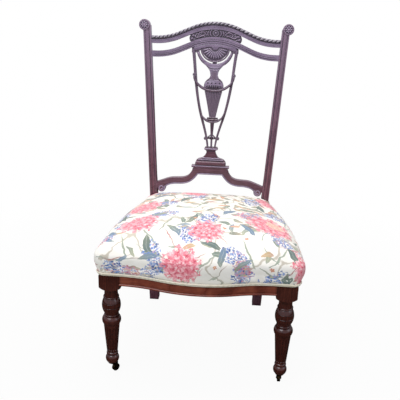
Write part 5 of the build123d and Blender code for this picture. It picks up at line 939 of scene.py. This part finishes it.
# Mouldings of the pedestal and the plinth, and dark lines of painted shade among them
moulding("pedestal_mouldings", [bar(18.6, 511.2, 3.0), bar(25.0, 486.2, 1.7), bar(36.4, 481.8, 1.7)], "back",
         1.2, -0.8, 3)
moulding("pedestal_lines", [bar(14.0, 505.6, 0.9), bar(37.0, 479.0, 0.8), bar(44.0, 465.2, 0.8)], "groove_shade",
         0.7, -0.8)
moulding("pedestal_ovolo", [bar(41.6, 472.0, 6.0)], "low", 0.5, -1.0, 4)
moulding("plinth_beads", [bar(55.0, 463.6, 1.3), bar(36.0, 442.6, 2.0)], "back", 0.9, 0.6)

# Beads along the lower edge of the arms, and their curled ends, as (out, rise over the plinth's foot)
PLINTH_FOOT = 96.3
ARM_LOW_LINE = ((36.5, 1.6), (47.8, -12.6), (61.8, -23.4), (79.4, -28.8), (104.2, -30.2), (121.0, -34.0),
                (131.0, -40.0))
ARM_SCROLL = (143.0, -46.2)
ARM_BEAD = 2.0
ARM_CURL = 9.8


def over_plinth_foot(rise):
    """Distance up the raked back of a height over the plinth's foot."""
    return (PLINTH_FOOT + rise) / cos(RAKE)


arm_runs = []
for side in (-1, 1):
    line = [(side * out, over_plinth_foot(rise), ARM_BEAD) for out, rise in ARM_LOW_LINE]
    arm_runs.append(between(line, 5))
    arm_runs.append(curl(side, ARM_SCROLL[0], over_plinth_foot(ARM_SCROLL[1]), ARM_CURL, ARM_BEAD, 0.8, 1.5,
                         0.75, 0.3, 28))
moulding("arm_beads", arm_runs, "back", 0.9, 0.0)

for draft in (leaf, bead):
    bpy.data.objects.remove(draft)


# The stuffed seat. Contours: drawn in by, height in front, height behind
CONTOURS = (
    (0.0, 289.5, 289.5), (-8.0, 303.0, 303.0), (-15.0, 322.0, 325.0), (-14.0, 340.0, 342.5),
    (-2.0, 354.0, 355.0), (24.0, 367.0, 365.5), (64.0, 380.0, 377.5), (115.0, 391.0, 388.0),
)
TOP_INSET = 160.0
TOP_CONTOUR = (TOP_INSET, 395.5, 392.0)
SHOW_WOOD_TOP, RAIL_TOP = 289.0, 308.0
FOOT_LOW = 279.0
SIDE_FRONT, SIDE_REAR = 238.0, 186.0
RAIL_SPAN = 190.0
FRONT_RUN = 226.94
FRONT_BOW = 27.8
FRONT_EASE = 0.97
CORNER_RADIUS = 14.0
FULL_INSET = 240.0
REAR_FACE = BACK_Y + 28.0
SET_IN = 1.5
SIDE_SWELL = 18.0
MIDDLE_RISE = 10.0
REAR_DROP = 9.0
REAR_FALL = 0.7
COVER_DEPTH = 2.0
VOXEL = 5.0
MOST_PUSH = 5.0
SIM_FRAMES = 20
BELLY_HEIGHT, FOLD_HEIGHT = 0.322, 0.362
PIPING_RADIUS = 1.9
PIPING_REAR = 154.7


def held(value):
    """A share held between 0 and 1."""
    return max(0.0, min(1.0, value))


def side_x(y):
    """Outer face of the side rail at this place from front to back."""
    return SIDE_FRONT + (y - FRONT_Y - BLOCK) / (SEAT_DEPTH - BLOCK) * (SIDE_REAR - SIDE_FRONT)


def seat_outline(inset, closed=True):
    """Half plan of the seat drawn in by this much, from the front round to the right post or, closed, to the
    middle of the rear, with the places of front and rear."""
    drawn = max(0.0, inset) / FULL_INSET
    radius = CORNER_RADIUS * (1 + 2 * drawn) + max(0.0, -inset)
    bow = FRONT_BOW * (1 - drawn)
    crown = FRONT_Y - BLOCK / 2 + SET_IN + inset
    front = crown + bow
    rear = REAR_FACE - SET_IN - inset
    corner = Vector((side_x(front) - SET_IN - inset, front))
    rear_corner = Vector((side_x(rear) - SET_IN - inset, rear))
    along = (rear_corner - corner).normalized()
    reach = radius / tan(Vector((-1, 0)).angle(along) / 2)
    arc_start = corner + Vector((-1, 0)) * reach
    arc_end = corner + along * reach
    middle = arc_start + Vector((0, radius))
    span = RAIL_SPAN * arc_start.x / FRONT_RUN
    half = []
    for step in range(24):
        out = arc_start.x * step / 24
        half.append((out, crown + serpentine_drop(span, bow, FRONT_EASE, out)))
    first, last = (atan2(end.y - middle.y, end.x - middle.x) for end in (arc_start, arc_end))
    for step in range(8):
        turn = first + (last - first) * step / 8
        half.append((middle.x + radius * cos(turn), middle.y + radius * sin(turn)))
    post_y = BACK_Y - 0.2
    end = rear_corner if closed else Vector((side_x(post_y) - SET_IN - inset, post_y))
    for step in range(30):
        half.append(tuple(arc_end.lerp(end, step / 29)))
    if closed:
        for step in range(1, 13):
            half.append((end.x * (1 - step / 12), end.y))
    return half, crown, rear


def crowned(x, y, z, share):
    """Moves a point of the seat's form out and up: the stuffing is deepest in the middle and the sides."""
    lift = held((z - SHOW_WOOD_TOP - 12.0) / 70.0)
    across = min(1.0, abs(x) / side_x(y))
    swell = sin(pi * held(share))
    belly = sin(pi * held((z - SHOW_WOOD_TOP) / 110.0))
    out = SIDE_SWELL * swell * belly * across**4
    middle = MIDDLE_RISE * (1 - across**2) * (1 - REAR_FALL * share**2)
    rise = lift * (middle - REAR_DROP * across**3 * share**2)
    return x + copysign(out, x), y, z + rise


def closed_form(name, rings):
    """Object over closed rings in millimetres, of as many points each, with both ends filled."""
    count = len(rings[0])
    points = [Vector(point) * MM for ring in rings for point in ring]
    faces = []
    for start in range(0, len(points) - count, count):
        for number in range(count):
            a, b = start + number, start + (number + 1) % count
            faces.append((a, b, b + count, a + count))
    faces.append(tuple(range(count))[::-1])
    faces.append(tuple(range(len(points) - count, len(points))))
    mesh = bpy.data.meshes.new(name)
    mesh.from_pydata(points, [], faces)
    return place_object(name, mesh)


def seat_form(name, depth):
    """Closed crowned form of the seat, this far inside the cover's face."""
    rings = []
    top = len(CONTOURS) - 1
    for number, (inset, front_z, back_z) in enumerate([(0.0, FOOT_LOW, FOOT_LOW), *CONTOURS, TOP_CONTOUR]):
        above = held((front_z - SHOW_WOOD_TOP - 1.0) / 24.0)
        half, crown, rear = seat_outline(min(inset + depth * above, TOP_INSET))
        sink = depth * max(0, min(number - 1, top)) / top
        ring = []
        for x, y in half:
            share = (y - crown) / (rear - crown)
            ring.append(crowned(x, y, front_z + (back_z - front_z) * share - sink, share))
        rings.append(ring + [(-x, y, z) for x, y, z in reversed(ring[1:-1])])
    return closed_form(name, rings)


def stuff(piece, most):
    """Lets the stuffing press the cover out, no point further than this. The foot is tacked down."""
    start = [corner.co.copy() for corner in piece.data.vertices]
    group = piece.vertex_groups.new(name="tacked")
    for corner in piece.data.vertices:
        if corner.co.z < (SHOW_WOOD_TOP + 7.0) * MM:
            group.add([corner.index], 1.0, "REPLACE")
    cloth = piece.modifiers.new("stuffed_cover", "CLOTH")
    set_all(cloth.settings, quality=5, mass=0.25, tension_stiffness=25.0, compression_stiffness=25.0,
            bending_stiffness=1.5, use_pressure=True, uniform_pressure_force=4.0, vertex_group_mass="tacked")
    cloth.settings.effector_weights.gravity = 0.0
    set_all(cloth.point_cache, frame_start=1, frame_end=SIM_FRAMES)
    for number in range(1, SIM_FRAMES + 1):
        bpy.context.scene.frame_set(number)
    choose(piece)
    bpy.ops.object.modifier_apply(modifier=cloth.name)
    for corner, old in zip(piece.data.vertices, start):
        move = corner.co - old
        if move.length > most * MM:
            corner.co = old + move.normalized() * most * MM
    bpy.context.scene.frame_set(1)


def take_away(piece, outline, low, high):
    """Cuts an upright form over this outline out of a piece."""
    cutter = closed_form("cut_form", [[(x, y, z) for x, y in outline] for z in (low, high)])
    modify(piece, "BOOLEAN", operation="DIFFERENCE", solver="EXACT", object=cutter)
    bpy.data.objects.remove(cutter)


def box_outline(left, right, front, rear):
    """Plan of a box."""
    return [(left, front), (right, front), (right, rear), (left, rear)]


def cut_for_frame(piece):
    """Cuts the cover off at its foot, round the rails that it is tacked over and round the two posts."""
    take_away(piece, box_outline(-400.0, 400.0, -400.0, 400.0), 250.0, SHOW_WOOD_TOP + 0.2)
    half, _, _ = seat_outline(2.4)
    take_away(piece, half + [(-x, y) for x, y in reversed(half[1:-1])], 268.0, RAIL_TOP + 0.6)
    for left, right in ((POST_INNER - 0.3, 300.0), (-300.0, 0.3 - POST_INNER)):
        take_away(piece, box_outline(left, right, BACK_Y - 0.3, BACK_Y + 120.0), 240.0, 460.0)


def lay_out_cloth(piece):
    """Flat place of each point of the cover on its cloth, the sides folded out from the top."""
    mesh = piece.data
    layer = mesh.uv_layers.new(name="cloth")
    flat = []
    for corner in mesh.vertices:
        drop = max(0.0, FOLD_HEIGHT - corner.co.z) + max(0.0, BELLY_HEIGHT - corner.co.z) * 0.5
        flat.append((corner.co.x + corner.normal.x * drop, corner.co.y + corner.normal.y * drop))
    for loop in mesh.loops:
        layer.data[loop.index].uv = flat[loop.vertex_index]


def cover_seat():
    """The stuffed seat: an even mesh, softened, pressed out, made finer, cut and laid out."""
    seat = seat_form("stuffed_seat", COVER_DEPTH)
    modify(seat, "REMESH", mode="VOXEL", voxel_size=VOXEL * MM)
    modify(seat, "SMOOTH", iterations=6, factor=0.5)
    stuff(seat, MOST_PUSH)
    modify(seat, "SUBSURF", levels=1, render_levels=1)
    cut_for_frame(seat)
    lay_out_cloth(seat)
    dress(seat, "chintz", smooth=60.0)
    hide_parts("seat_cover", "cotton_wadding", "hair_stuffing", "fibre_stuffing")


def pipe():
    """Double piping tacked along the foot of the cover, and across the back between the posts."""
    runs = []
    for height, stand in ((SHOW_WOOD_TOP + 2.2, 3.56), (SHOW_WOOD_TOP + 6.45, 6.08)):
        half, _, _ = seat_outline(-stand, closed=False)
        round_front = [(-x, y) for x, y in reversed(half[1:])] + half
        rear = REAR_FACE - SET_IN + stand
        across = [(PIPING_REAR * (step / 10 - 1), rear) for step in range(21)]
        for path in (round_front, across):
            runs.append([(x, y, height, PIPING_RADIUS) for x, y in path])
    piece = sweep("double_piping_cords", runs, 3)
    piece.data.transform(Matrix.Diagonal((MM, MM, MM, 1)))
    dress(piece, "piping", smooth=60.0)
    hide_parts("double_piping")


def stretch_dust_cover():
    """Black calico tacked under the seat, sagging a little between its tacks."""
    low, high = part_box("dust_cover")
    bpy.ops.mesh.primitive_grid_add(x_subdivisions=60, y_subdivisions=60, size=1.0, location=(0, 0, 0))
    piece = bpy.context.object
    piece.name = "dust_cover_cloth"
    for corner in piece.data.vertices:
        across, along = corner.co.x * 2, corner.co.y + 0.5
        y = (low.y + (high.y - low.y) * along) / MM
        half = 188.0 if y - FRONT_Y < BLOCK + 1.0 else side_x(y) - 7.0
        if y > BACK_Y - 0.4:
            half = POST_INNER - 0.5
        middle = (1 - across**4) * sin(pi * along)
        ripple = 0.35 * sin(across * 23.0) * sin(along * 19.0)
        z = low.z + 0.4 * MM - (1.6 * middle + ripple * middle) * MM
        corner.co = (across * half * MM, y * MM, z)
    modify(piece, "SOLIDIFY", thickness=0.5 * MM, offset=0.0)
    dress(piece, "calico", smooth=60.0)
    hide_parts("dust_cover")


cover_seat()
pipe()
stretch_dust_cover()
